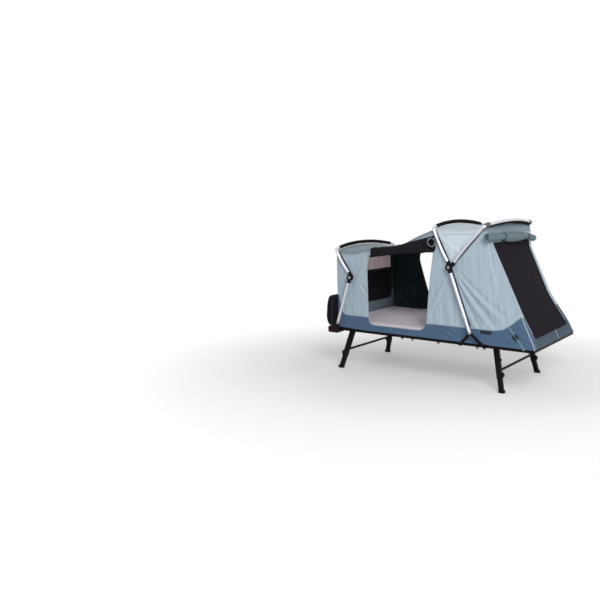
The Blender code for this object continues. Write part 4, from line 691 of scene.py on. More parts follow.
def seam_line():
    """The seam between skirt and side wall: before, under and after the doorway."""
    low, first, last = SKIRT_LINE, HITCH_CORNER_SEAM, OUTER_CORNER_SEAM
    start = [(0.008, first), (0.045, low + 0.060), (0.085, low + 0.012), (0.130, low), (0.36, low)]
    before = [(HITCH_WALL, first)] + curve_2d(start)
    door = []
    for foot, way, radius in zip(DOOR_FOOT, (1, -1), DOOR_CORNERS):
        turn = asin(1 - (low - DOOR_SILL) / radius)
        turns = [pi + turn + (pi / 2 - turn) * k / 12 for k in range(13)]
        arc = [(foot + way * radius * (1 + cos(a)), DOOR_SILL + radius * (1 + sin(a))) for a in turns]
        door += arc[::way]
    end = [(DOOR_FOOT[1] + 0.03, low), (1.5, low - 0.002), (1.83, low), (1.90, low + 0.006)]
    end += [(1.97, low + 0.024), (2.04, low + 0.072), (2.10, low + 0.125), (lean(last) - 0.006, last)]
    return before[:-1], door, curve_2d(end)[1:] + [(lean(last), last)]


def curve_2d(points, steps=6):
    return [(p[0], p[1]) for p in curve_through([(u, v, 0) for u, v in points], steps)]


BEFORE, UNDER_DOOR, AFTER = seam_line()
SIDE_SEAM = BEFORE + UNDER_DOOR + AFTER


def below_strip(station):
    """A place on the doorway's upper edge, which a strip of wall joins to the roof."""
    return station, wall_height(station) - DOOR_TOP_STRIP


LEFT_EDGE = curve_2d([UNDER_DOOR[0], *DOOR_LEFT, below_strip(DOOR_HEAD[0])])
RIGHT_EDGE = curve_2d([UNDER_DOOR[-1], *DOOR_RIGHT, below_strip(DOOR_HEAD[1])])
DOOR_TOP = [below_strip(DOOR_HEAD[0] + (DOOR_HEAD[1] - DOOR_HEAD[0]) * k / 12) for k in range(13)]
SLOPE = sqrt(1 + LEAN**2)
WALL_OUT = Vector((1, 0, LEAN)) / SLOPE


def drawn_in(place):
    """The back outer edge is cut hollow, so that it curves in between roof and platform."""
    z = place.z
    bow = ease(z, *HOLLOW_LOW) * (1 - ease(z, *HOLLOW_HIGH))
    end = lean(z)
    bow *= ease(place.y, 0.05, CLOTH) * ease(place.x - STATION_ZERO, end - HOLLOW_REACH, end)
    return place - Vector((EDGE_BOW[1], EDGE_BOW[0], 0)) * float(bow)


def over_rail(place):
    """The skirt's lowest part widens and hangs over the rails."""
    share = float(1 - ease(place.z, TOP, TOP + FOOT_RISE))
    end = LENGTH + STATION_ZERO
    outward = min(place.x, end - 0.0005) + FOOT_BEHIND * share * max(0.0, place.x / end)
    return Vector((outward, place.y * (1 + FOOT_OUT / CLOTH * share), place.z))


def on_side(sign):
    """Puts (station, height, outward) on a side wall."""
    if sign > 0:
        return lambda u, v, d: drawn_in(at(u, CLOTH + d, v))
    return lambda u, v, d: at(u, -CLOTH - d, v)


def on_outer(u, v, d):
    """Puts (across, height, outward) on the leaning outer wall."""
    return drawn_in(at(lean(v), u, v) + WALL_OUT * d)


def on_hitch(u, v, d):
    return at(hitch_station(u, v) - d, u, v)


def spread(outline, holes, place, folds, gap=NET, flip=False, mark=None):
    """A cut of cloth, put on its surface with its folds."""
    points, faces = cut_out(outline, holes, gap)
    if flip:
        faces = [tuple(reversed(f)) for f in faces]
    marks = None
    if mark:
        marks = [int(mark(*points[list(f)].mean(axis=0))) for f in faces]
    spots = [place(u, v, d) for (u, v), d in zip(points, folds(points))]
    return net(spots, faces, marks)


def join(meshes):
    bm = bmesh.new()
    for mesh in meshes:
        bm.from_mesh(mesh)
        bpy.data.meshes.remove(mesh)
    bmesh.ops.remove_doubles(bm, verts=bm.verts, dist=0.0002)
    made = bpy.data.meshes.new("joined")
    bm.to_mesh(made)
    bm.free()
    return made


POLE_LINES = (
    (HITCH_BASE, HITCH_HUB),
    (HITCH_HUB, HITCH_CORNER),
    (OUTER_BASE, OUTER_HUB),
    (OUTER_HUB, MIDDLE_CORNER),
    (OUTER_HUB, OUTER_CORNER),
)
HITCH_FAN = [(-52, 0.018, 0.012, 0), (-24, 0.014, 0.013, 0.1), (4, 0.014, 0.012, 0)]
HITCH_FAN += [(29, 0.006, 0.014, 0), (42, 0.016, 0.014, -0.1), (64, 0.016, 0.012, 0)]
OUTER_FAN = [(0, 0.014, 0.012, 0.05), (8, 0.014, 0.018, 0.15), (18, 0.016, 0.024, 0.18)]
OUTER_FAN += [(30, 0.019, 0.024, 0.16), (43, 0.020, 0.018, 0.10), (-20, 0.018, 0.016, -0.2)]
OUTER_FAN += [(-34, 0.014, 0.010, -0.2)]
MIDDLE_FAN = [(30, 0.012, 0.007, 0), (55, 0.014, 0.008, 0.1), (-12, 0.012, 0.007, 0)]
SIDE_FANS = (
    (HITCH_HUB, HITCH_FAN, 0.54),
    (OUTER_HUB, OUTER_FAN, 0.78),
    ((MIDDLE_CORNER[0], MIDDLE_CORNER[1] - 0.06), MIDDLE_FAN, 0.42),
    ((OUTER_CORNER[0], OUTER_CORNER[1] - 0.08), [(8, 0.012, 0.010, 0.1)], 0.5),
)


def side_folds(seed):
    """The folds of a side wall, which pull from the hubs and the hoops' corners."""

    def folds(points):
        total = np.zeros(len(points))
        for apex, rows, reach in SIDE_FANS:
            total += fan(points, apex, rows, reach)
        low_folds = 1 - ease(points[:, 1], 0.80, 1.15)
        total += 0.012 * low_folds * ripples(points, pi / 2 * 1.10, 0.45, 0.040, seed + 2)
        total += 0.007 * ripples(points, pi / 2 * 1.04, 0.42, 0.055, seed)
        total += 0.006 * ripples(points, pi / 3.2, 0.18, 0.045, seed + 4)
        total += 0.0018 * ripples(points, pi / 2.4, 0.05, 0.022, seed + 9)
        total *= ease(edge_distance(points, [SIDE_OUTLINE]), 0.0, 0.045)
        # The cloth doesn't reach the poles outside it.
        room = 0.003 + 0.03 * ease(line_distance(points, POLE_LINES), 0.025, 0.09)
        return np.clip(total, -0.028, room)

    return folds


def rippled(rows, loops, reach, lift=0.0):
    """Folds from rows of (height, angle, along, across, seed), which end toward the loops."""

    def folds(points):
        total = sum(height * ripples(points, *rest) for height, *rest in rows)
        return total * ease(edge_distance(points, loops), 0.0, reach) + lift

    return folds


# Walls, roof and skirt

top_right = outer_edge(CLOTH)[0]
corner_left = hitch_edge(CLOTH)[0]
upper = [top_right + (corner_left - top_right) * k / 60 for k in range(61)]
SIDE_OUTLINE = [
    *BEFORE,
    *LEFT_EDGE,
    *DOOR_TOP[1:-1],
    *reversed(RIGHT_EDGE),
    *AFTER,
    *[(s, wall_height(s) - 0.0015) for s in upper],
    *[(hitch_station(CLOTH, z), z) for z in np.linspace(1.32, 0.90, 12)],
]


def lighter(u, v):
    """1 between the hoops' legs, where the cloth takes a paler colour: painted light, for the light that
    comes through the cloth there.
    """
    up = v - OUTER_HUB[1]
    ends = [
        OUTER_HUB[0] + up * (corner[0] - OUTER_HUB[0]) / (corner[1] - OUTER_HUB[1])
        for corner in (MIDDLE_CORNER, OUTER_CORNER)
    ]
    return int(up > 0 and ends[0] < u < ends[1])


for side, sign in SIDES:
    mesh = spread(SIDE_OUTLINE, (), on_side(sign), side_folds(3.0 + sign), flip=sign > 0, mark=lighter)
    looks = [WALL, WALL_PAINTED_LIGHT, LINING, LINING]
    cut(f"{side}_wall_cloth", mesh, looks, f"{side}_wall", lining=2)

HALF_IN = CLOTH - 0.0008
across = [HALF_IN * sin(k * pi / 2 / 20) for k in range(20, -21, -1)]


def end_seam(points):
    """An end wall's seam, from its front half."""
    return curve_2d(points) + curve_2d([(-u, v) for u, v in reversed(points)])


HITCH_SEAM_LINE = end_seam([(-HALF_IN, HITCH_CORNER_SEAM), (-0.602, 0.732), (-SEAM_TURN, HITCH_SEAM)])
HITCH_OUTLINE = HITCH_SEAM_LINE + [(y, hitch_edge(y)[1] - 0.0022) for y in across]
HITCH_HOLE = rounded([(-0.55, 0.735, 0.05), (0.55, 0.735, 0.05), (0.55, 1.075, 0.05), (-0.55, 1.075, 0.05)])
rows = [(0.005, pi / 2, 0.5, 0.07, 21.0), (0.004, 0.5, 0.2, 0.05, 27.0)]
folds = rippled(rows, [HITCH_OUTLINE, HITCH_HOLE], 0.04)
mesh = spread(HITCH_OUTLINE, (HITCH_HOLE,), on_hitch, folds, flip=True)
cut("hitch_wall_cloth", mesh, [WALL, LINING], "hitch_wall", lining=1)

OUTER_SEAM_LINE = end_seam([(-HALF_IN, OUTER_CORNER_SEAM), (-0.600, 0.590), (-SEAM_TURN, OUTER_SEAM)])
OUTER_OUTLINE = OUTER_SEAM_LINE + [(y, outer_edge(y)[1] - 0.0025) for y in across]
OUTER_HOLE = [(-0.526, 0.583, 0.05), (0.560, 0.590, 0.06), (0.590, 1.530, 0.03)]
OUTER_HOLE = rounded([*OUTER_HOLE, (-0.618, 1.530, 0.03), (-0.590, 0.800, 0.30)])


def below_mesh(u, v):
    """Which part of the outer wall a place is in: 0 for the skirt beside the mesh, 1 for the band below,
    whose darker colour is painted shade.
    """
    return int(u > 0.52 or (v < 0.612 and u > -0.56))


def outer_part(u, v):
    """1 for the band of painted shade, 2 for the part under the roof's edge, in the roof's painted shade, 3
    for the skirt beside the mesh.
    """
    if v < OUTER_CORNER_SEAM:
        return 1 if below_mesh(u, v) else 3
    return 2 if v > 1.600 else 0


rows = [(0.006, pi / 2, 0.6, 0.06, 31.0), (0.003, 0.6, 0.2, 0.05, 37.0)]
folds = rippled(rows, [OUTER_OUTLINE, OUTER_HOLE], 0.035)
mesh = spread(OUTER_OUTLINE, (OUTER_HOLE,), on_outer, folds, mark=outer_part)
looks = [WALL, BAND_PAINTED_SHADE, ROOF_PAINTED_SHADE, SKIRT, LINING, LINING, LINING, LINING]
cut("outer_wall_cloth", mesh, looks, "outer_wall", lining=4)


def roof_spot(t, y):
    """The roof's station and height: t is 0 at the hitch hoop and 3 at the outer hoop."""
    if t < 1:
        station = HITCH_CORNER[0] + HITCH_CLIMB[0] * arch(y)
        low, high = roof_height(HITCH_CORNER[0], y), roof_height(HITCH_WALL, y)
        return station + (HITCH_WALL - station) * t, low + (high - low) * t
    edge = outer_edge(y)[0]
    station = HITCH_WALL + (MIDDLE_CORNER[0] - HITCH_WALL) * (t - 1)
    if t > 2:
        station = MIDDLE_CORNER[0] + (edge - MIDDLE_CORNER[0]) * (t - 2)
    if t <= 3:
        return station, roof_height(station, y)
    end = OUTER_CORNER[0] + OUTER_CLIMB[0] * arch(y)
    low, high = roof_height(edge, y), roof_height(OUTER_CORNER[0], y)
    return edge + (end - edge) * (t - 3), low + (high - low) * (t - 3)


def grid(rows, columns):
    """The faces of a net with even rows and columns of points."""
    corners = [i * columns + j for i in range(rows - 1) for j in range(columns - 1)]
    return [(a, a + columns, a + columns + 1, a + 1) for a in corners]


def roof_mesh():
    shares = [k / 4 for k in range(4)] + [1 + k / 72 for k in range(72)]
    shares += [2 + k / 34 for k in range(34)] + [3 + k / 4 for k in range(5)]
    lines = [CLOTH * sin(k * pi / 2 / 34) for k in range(-34, 35)]
    spots = []
    for t in shares:
        for y in lines:
            station, height = roof_spot(t, y)
            between = abs(sin(pi * min(max(t - 1, 0), 2)))
            side = 1 - (abs(y) / CLOTH) ** 8
            place = Vector((station * 2.2, y * 5.0, 0.3))
            sway = 0.010 * noise.noise(place) + 0.006 * noise.noise(Vector((station * 9, y * 4.2, 7)))
            sway += 0.0035 * noise.noise(Vector((station * 16 - abs(y) * 9, y * 11, 2.0)))
            spots.append(at(station, y, height + 0.0003 + sway * between**0.6 * side))
    # The roof between the middle and outer hoops takes the paler canvas: painted light.
    marks = [int(2.0 <= t < 2.94) for t in shares[:-1] for _ in lines[1:]]
    return net(spots, grid(len(shares), len(lines)), marks)


cut("roof_cloth", roof_mesh(), [ROOF_PAINTED_SHADE, WALL_PAINTED_LIGHT, LINING, LINING], "roof", lining=2)

CORNER_FAN = [(-14, 0.010, 0.007, 0), (-34, 0.012, 0.010, 0.2), (-52, 0.014, 0.008, 0.1)]
DOORSIDE_FAN = [(48, 0.012, 0.008, 0.2), (64, 0.012, 0.010, 0.0), (78, 0.012, 0.006, 0)]


def skirt_folds(points):
    """Diagonal wrinkles beside the doorway and at the corners."""
    total = 0.006 * ripples(points, 0.55, 0.22, 0.045, 41.0)
    total += 0.007 * ripples(points, pi - 0.5, 0.24, 0.035, 47.0) * ease(points[:, 0], 1.0, 1.25)
    total += fan(points, (0.01, 0.87), [(20, 0.012, 0.004, 0), (44, 0.014, 0.005, 0)], 0.4, 0.02)
    total += fan(points, (2.12, 0.80), CORNER_FAN, 0.6, 0.02)
    total += fan(points, (1.10, 0.70), DOORSIDE_FAN, 0.5, 0.02)
    total += 0.0012 * ripples(points, 0.8, 0.05, 0.02, 49.0)
    return total * ease(edge_distance(points, [side_cut]), 0.0, SKIRT_PIN)


def foot_height(station):
    """The skirt's lower edge, which hangs over the rail away from the hitch end."""
    return SKIRT_FOOT - 0.0110 * float(ease(station, 0.02, 0.40))


def hung(place):
    return lambda u, v, d: over_rail(place(u, v, d))


SKIRT_NET, SKIRT_PIN = 0.012, 0.03
LAST_FOOT = foot_height(LENGTH)
side_cut = SIDE_SEAM + [(SKIRT_END, TOP)]
side_cut += [(s, foot_height(s)) for s in np.linspace(SKIRT_END, HITCH_WALL, 60)]
hitch_cut = [(-CLOTH, SKIRT_FOOT), (CLOTH, SKIRT_FOOT), (CLOTH, HITCH_CORNER_SEAM)]
hitch_cut += [*HITCH_SEAM_LINE[-2:0:-1], (-CLOTH, HITCH_CORNER_SEAM)]
outer_cut = [(-CLOTH, TOP), (-CLOTH, LAST_FOOT), (CLOTH, LAST_FOOT), (CLOTH, TOP)]
outer_cut += [(CLOTH, OUTER_CORNER_SEAM), *OUTER_SEAM_LINE[-2:0:-1], (-CLOTH, OUTER_CORNER_SEAM)]
pleats = [(0.008, pi / 2, 0.6, 0.026, 51.0), (0.002, 1.2, 0.2, 0.05, 53.0)]
pleats = rippled(pleats, [hitch_cut], SKIRT_PIN)
swell = rippled([(0.004, 1.0, 0.3, 0.03, 57.0)], [outer_cut], SKIRT_PIN)
meshes = [spread(side_cut, (), hung(on_side(s)), skirt_folds, SKIRT_NET, s > 0) for s in (-1, 1)]
place = hung(lambda u, v, d: at(HITCH_WALL - d, u, v))
meshes.append(spread(hitch_cut, (), place, pleats, SKIRT_NET, True, lambda u, v: 2))
meshes.append(spread(outer_cut, (), hung(on_outer), swell, SKIRT_NET, mark=below_mesh))
looks = [SKIRT, BAND_PAINTED_SHADE, SKIRT, GREY_LINING, GREY_LINING, PLEATED]
cut("skirt_cloth", join(meshes), looks, "skirt", lining=3)


# Mesh windows


def window(name, node, outline, place, seed, flip, strength):
    rows = [(strength, pi / 2, 0.8, 0.035, seed), (strength * 0.6, pi / 2 - 0.3, 0.3, 0.02, seed + 5)]
    mesh = spread(outline, (), place, rippled(rows, [outline], 0.05, -0.0012), flip=flip)
    return cut(name, mesh, [MESH], node, 0.0008)


HITCH_MESH = [(-0.562, 0.723, 0.055), (0.562, 0.723, 0.055), (0.562, 1.087, 0.055)]
HITCH_MESH = rounded([*HITCH_MESH, (-0.562, 1.087, 0.055)])
OUTER_MESH = [(-0.538, 0.571, 0.06), (0.572, 0.578, 0.07), (0.602, 1.542, 0.04)]
OUTER_MESH = rounded([*OUTER_MESH, (-0.630, 1.542, 0.04), (-0.602, 0.800, 0.30)])
hitch_mesh = window("hitch_window_mesh", "hitch_window", HITCH_MESH, on_hitch, 61.0, True, 0.007)
outer_mesh = window("outer_window_mesh", "outer_window", OUTER_MESH, on_outer, 71.0, False, 0.0022)


# Rolled and hanging cloth

TIE_REACH = 0.06


def bulges(table, places):
    """A roll's shape along it, drawn in where the ties hold it.

    Each row is (share of the way, size, drop, share hanging below, share outward, shift aside).
    """
    columns = list(zip(*table))

    def lumps(share):
        tight = max([0.0] + [1 - abs(share - p) / TIE_REACH for p in places])
        between = 1 - tight * tight * (3 - 2 * tight)
        size, *rest = (float(np.interp(share, columns[0], c)) for c in columns[1:])
        return size * (0.90 + 0.10 * between), *rest

    return lumps


def wound(start, end, radius, table, places):
    """What roll() and tie() need of a roll: its ends, its directions, its radius and its lumps."""
    ahead = (end - start).normalized()
    side = (Vector((0, 0, 1)) - ahead * ahead.z).normalized()
    return start, end, (ahead, side, ahead.cross(side)), radius, bulges(table, places)


def section(line, share):
    """A roll's middle and radius at a share of the way along it, and its shares below and outward."""
    start, end, (_, side, other), radius, lumps = line
    size, drop, below, beside, aside = lumps(share)
    return start.lerp(end, share) - side * drop + other * aside, radius * size, below, beside


def roll(name, node, line, turns, pitch, looks, seed, slot, pale, slant=0, fold=FLAT):
    """A cloth wound up along a line. Its windings show at the ends.

    pale is the turns with the pale lining, and slant is how far the last end is pulled out on its
    far side, per metre across.
    """
    ahead, side, other = line[2]
    per_turn, steps = 26, 64
    count = int(turns * per_turn)
    loops = []
    for i in range(steps + 1):
        share = i / steps
        middle, radius, below, beside = section(line, share)
        pull = slant * float(ease(share, 0.85, 1.0))
        outside, inner = [], []
        for k in range(count + 1):
            angle = 2 * pi * k / per_turn + 0.9
            place = middle * 9 + Vector((cos(angle), sin(angle), seed)) * 0.8
            wave = 1 + 0.09 * noise.noise(place) + 0.03 * noise.noise(place * 3.1)
            reach = max(0.004, (radius - pitch * k / per_turn) * wave)
            u, v = cos(angle) * (1 - 0.10 * sin(angle) ** 2), sin(angle) * beside
            if u < 0 and k < 0.9 * per_turn:
                u *= 1 + below
            away = side * u + other * v - ahead * (v * pull)
            lined = pale[0] < k / per_turn < pale[1]
            outside.append(middle + away * reach)
            inner.append(middle + away * (reach - (0.0052 if lined else 0.0022)))
        loops.append(outside + inner[::-1])
    bm = bmesh.new()
    skin(bm, loops, caps=False)
    bm.verts.ensure_lookup_table()
    total = 2 * (count + 1)
    for base in (0, steps * total):
        for k in range(count):
            corners = (base + k, base + k + 1, base + total - 2 - k, base + total - 1 - k)
            face = bm.faces.new([bm.verts[n] for n in corners])
            face.material_index = int(pale[0] < k / per_turn < pale[1])
    for n, face in enumerate(bm.faces):
        turn = (total - 1 - n % total) / per_turn
        if n < steps * total and n % total > count and pale[0] < turn < pale[1]:
            face.material_index = 1
    return strip(name, bm, looks, node=node)


def tie(bm, line, share, width, tail=None):
    """A band round a roll, with its loose end hanging."""
    _, side, other = line[2]
    middle, radius, below, beside = section(line, share)
    reach = radius * 1.03 + 0.0015
    path, normals = [], []
    for k in range(29):
        a = 2 * pi * k / 28 + 0.3
        up = cos(a) * (1 - 0.10 * sin(a) ** 2) * (1 + below if cos(a) < 0 else 1)
        away = side * up + other * (sin(a) * beside)
        path.append(middle + away * (reach + 0.0008 * k / 28))
        normals.append(away)
    ribbon(bm, path, normals, width, 0.0016)
    if tail:
        hang = [middle - side * (reach * (1 + below)) + tail * 0.006]
        for k in range(1, 8):
            hang.append(hang[0] - Vector((0, 0, 1)) * 0.011 * k + tail * (0.004 * sin(k * 0.9)))
        ribbon(bm, hang, tail, width * 0.8, 0.0012)


three_quarters = 0.052 - 0.75 * 0.009
roll_y = -(CLOTH + 0.0003 + three_quarters)
door_places = (0.06, 0.48, 0.90)
DOOR_TABLE = [
    (0.00, 1.00, -0.011, 0.00, 0.90, 0),
    (0.45, 1.00, 0.014, 0.00, 0.92, 0),
    (0.66, 1.06, 0.000, 0.50, 0.88, 0.002),
    (0.83, 1.13, -0.006, 0.75, 0.86, 0.006),
    (0.93, 1.13, -0.006, 0.85, 0.92, 0.008),
    (1.00, 1.12, -0.004, 0.88, 0.96, 0.008),
]
door_line = wound(at(0.478, roll_y, 1.378), at(1.185, roll_y, 1.512), 0.050, DOOR_TABLE, door_places)
looks = [DARK_ROLL, ROLL_LIGHT]
door_names = "front_door_cloth", "front_door_roll"
door_roll = roll(*door_names, door_line, 4.2, 0.0062, looks, 5.0, "dark_lining", (0.95, 2.0), 0.5, ROLL_FOLD)

slope_away = 0.0517 / SLOPE
window_station = lean(1.560) + slope_away
window_height = 1.560 + slope_away * LEAN
WINDOW_ROLL_ENDS = (-0.722, 0.505)
window_length = WINDOW_ROLL_ENDS[1] - WINDOW_ROLL_ENDS[0]
window_places = tuple((p - WINDOW_ROLL_ENDS[0]) / window_length for p in (-0.420, 0.275))
WINDOW_TABLE = [
    (0.00, 0.98, -0.006, 0.00, 0.95, -0.050),
    (0.05, 0.99, -0.006, 0.00, 0.95, -0.025),
    (0.10, 0.98, -0.005, 0.00, 0.92, -0.003),
    (0.246, 0.82, -0.002, 0.00, 1.00, 0),
    (0.31, 1.08, 0.002, 0.10, 0.86, 0),
    (0.50, 1.20, 0.004, 0.15, 0.80, 0),
    (0.70, 1.02, 0.010, 0.10, 0.90, 0),
    (0.80, 0.80, 0.016, 0.00, 1.00, 0),
    (0.90, 0.88, 0.032, 0.00, 1.00, 0),
    (1.00, 0.84, 0.047, 0.00, 1.00, 0),
]
ends = [at(window_station, y, window_height) for y in WINDOW_ROLL_ENDS]
window_line = wound(*ends, 0.047, WINDOW_TABLE, window_places)
looks = [ROLL, ROLL_LIGHT]
window_names = "outer_window_cover", "outer_window_roll"
window_roll = roll(*window_names, window_line, 5.4, 0.0072, looks, 9.0, "roll_fabric", (0.6, 1.6))

for (side, _), share in zip(SIDES, window_places):
    bm = bmesh.new()
    tie(bm, window_line, share, 0.016, Vector((1, 0, 0.2)))
    strip(f"{side}_window_cover_tie", bm, [BLACK_TAPE], node=f"{side}_window_tie")
bm = bmesh.new()
for share in door_places:
    tie(bm, door_line, share, 0.018)
strip("door_roll_ties", bm, [BLACK_TAPE])


def hanging(name, node, top, bottom, height, plane, folds, depth, look, place, seed, trail=0.0):
    """A gathered cloth that hangs in folds between two lines."""
    columns, rows = folds * 12, 46
    spots = []
    for i in range(rows + 1):
        down = i / rows
        z = height[0] + (height[1] - height[0]) * down
        first = top[0] + (bottom[0] - top[0]) * down
        last = top[1] + (bottom[1] - top[1]) * down**1.2 + trail * float(ease(down, 0.80, 0.97))
        for j in range(columns + 1):
            share = j / columns
            bent = share + 0.016 * noise.noise(Vector((share * 3, down * 2.0, seed)))
            lean_in = 0.03 * noise.noise(Vector((share * 5, 0.5, seed + 3))) * down
            phase = 2 * pi * folds * (bent + lean_in)
            size = depth * (0.4 + 0.6 * min(1.0, down * 3))
            size *= 0.78 + 0.22 * noise.noise(Vector((share * 7, down * 2.5, seed + 5)))
            wave = size * (0.85 * cos(phase) + 0.15 * cos(2 * phase + 1.0))
            along = first + (last - first) * share - 0.25 * depth * sin(phase)
            spots.append(place(along, wave + plane, z))
    return cut(name, net(spots, grid(rows + 1, columns + 1)), [look], node, 0.0014, 0.0)


curtain_plane = CLOTH - 0.003 - 0.0003 - 0.016
curtain = hanging(
    "back_door_cloth", "back_door_curtain", (0.050, 0.360), (0.050, 0.600), (1.335, 0.592),
    curtain_plane, 10, 0.0155, BACK_DOOR, at, 81.0, 0.50,
)


def on_pelmet(along, away, z):
    return at(away - 0.03 * max(0, (z - 0.95)) / 0.4, along, z)


pelmet_station = HITCH_WALL + 0.003 + 0.0003 + 0.010
pelmet = hanging(
    "hitch_window_curtain_cloth", "hitch_window_curtain", (-0.560, 0.560), (-0.560, 0.560), (1.262, 1.090),
    pelmet_station, 14, 0.0135, BEIGE_WITH_PAINTED_LIGHT, on_pelmet, 91.0,
)


def tapes(name, looks, normal, rows, node=None):
    """Tapes on the cloth. Each row is (line, width, thickness, which look)."""
    bm = bmesh.new()
    for line, *rest in rows:
        ribbon(bm, line, normal, *rest)
    strip(name, bm, looks, node=node)


rows = []
for z, width in ((1.266, 0.016), (1.100, 0.020)):
    line = [at(pelmet_station + 0.009 - 0.03 * (z - 0.95) / 0.4, -0.57 + 1.14 * k / 24, z) for k in range(25)]
    rows.append((line, width, 0.0018))
tapes("pelmet_bands", [BLACK_TAPE], Vector((1, 0, 0)), rows)


# Mattress

PAD_ENDS, PAD_HALF = (0.022, 2.213), 0.626
PAD_BASE, PAD_TOP = TOP + 0.0012, TOP + 0.0985
PAD_CROWN = 0.010
PAD_PULL = 0.010
PAD_SEED = 15.0


def mattress():
    """A foam pad: crowned top, drawn-in sides and a rolled seam along its edges."""
    bm = bmesh.new()
    columns, rows = 64, 40
    x0, x1 = (s + STATION_ZERO for s in PAD_ENDS)
    middle = Vector(((x0 + x1) / 2, 0, 0))
    half = Vector(((x1 - x0) / 2, PAD_HALF, 0))
    belts = [(0.0, 0.010), (0.12, 0.002), (0.35, 0.0), (0.62, 0.0), (0.86, 0.002), (0.97, 0.008)]

    def spot(i, j, z, inset):
        u = sin(pi / 2 * (2 * i / columns - 1))
        v = sin(pi / 2 * (2 * j / rows - 1))
        x = middle.x + u * (half.x - inset - PAD_PULL * (1 - v * v))
        y = middle.y + v * (half.y - inset - PAD_PULL * (1 - u * u))
        return Vector((x, y, z)), u, v

    tops, bottoms = {}, {}
    for i in range(columns + 1):
        for j in range(rows + 1):
            point, u, v = spot(i, j, PAD_TOP, 0.011)
            drop = PAD_CROWN * max(abs(u), abs(v)) ** 6
            dents = 0.006 * noise.noise(Vector((point.x * 2.4, point.y * 3.0, PAD_SEED)))
            dents += 0.0025 * noise.noise(Vector((point.x * 9, point.y * 12, PAD_SEED + 3)))
            point.z = PAD_TOP - 0.005 - drop + dents * (1 - max(abs(u), abs(v)) ** 8)
            tops[i, j] = bm.verts.new(point)
            bottoms[i, j] = bm.verts.new(spot(i, j, PAD_BASE, 0.012)[0])
    for layer in (tops, bottoms):
        for i in range(columns):
            for j in range(rows):
                bm.faces.new((layer[i, j], layer[i + 1, j], layer[i + 1, j + 1], layer[i, j + 1]))
    rim = [(i, 0) for i in range(columns)] + [(columns, j) for j in range(rows)]
    rim += [(i, rows) for i in range(columns, 0, -1)] + [(0, j) for j in range(rows, 0, -1)]
    rings = [[bottoms[p] for p in rim]]
    for share, inset in belts:
        belt = []
        for i, j in rim:
            z = PAD_BASE + (PAD_TOP - PAD_CROWN - PAD_BASE) * (0.04 + 0.92 * share)
            point = spot(i, j, z, inset)[0]
            sway = 0.003 * noise.noise(Vector((point.x * 7, point.y * 7, share * 2 + PAD_SEED)))
            belt.append(bm.verts.new(point + (point - middle).normalized() * sway))
        rings.append(belt)
    rings.append([tops[p] for p in rim])
    for first, second in zip(rings, rings[1:]):
        for k in range(len(rim)):
            bm.faces.new((first[k - 1], first[k], second[k], second[k - 1]))
    made = add("mattress_pad", bm, [MATTRESS], 0, node="mattress")
    edges = bmesh.new()
    for z in (PAD_BASE + 0.006, PAD_TOP - PAD_CROWN - 0.004):
        line = [spot(i, j, z, 0.006)[0] for i, j in rim]
        pipe(edges, line + line[:1], 0.0032, 8)
    add("mattress_pad_piping", edges, [MATTRESS], 50)


mattress()


# Folded travel cover

COVER_SHAPE = [(0.0028, 0.0), (0.0028, 0.175), (0.034, 0.553), (0.079, 0.822), (0.202, 0.989)]
COVER_SHAPE += [(0.348, 1.0), (0.449, 0.943), (0.517, 0.863), (0.584, 0.946), (0.685, 0.970)]
COVER_SHAPE += [(0.820, 0.916), (0.933, 0.741), (1.0, 0.485), (0.966, 0.229), (0.854, 0.067), (0.674, 0.0)]
COVER_DEEP, COVER_FOOT, COVER_HIGH = 0.178, 0.495, 0.371
COVER_HALF, COVER_ROUND = 0.62, 0.03
STRAP_Y = 0.40


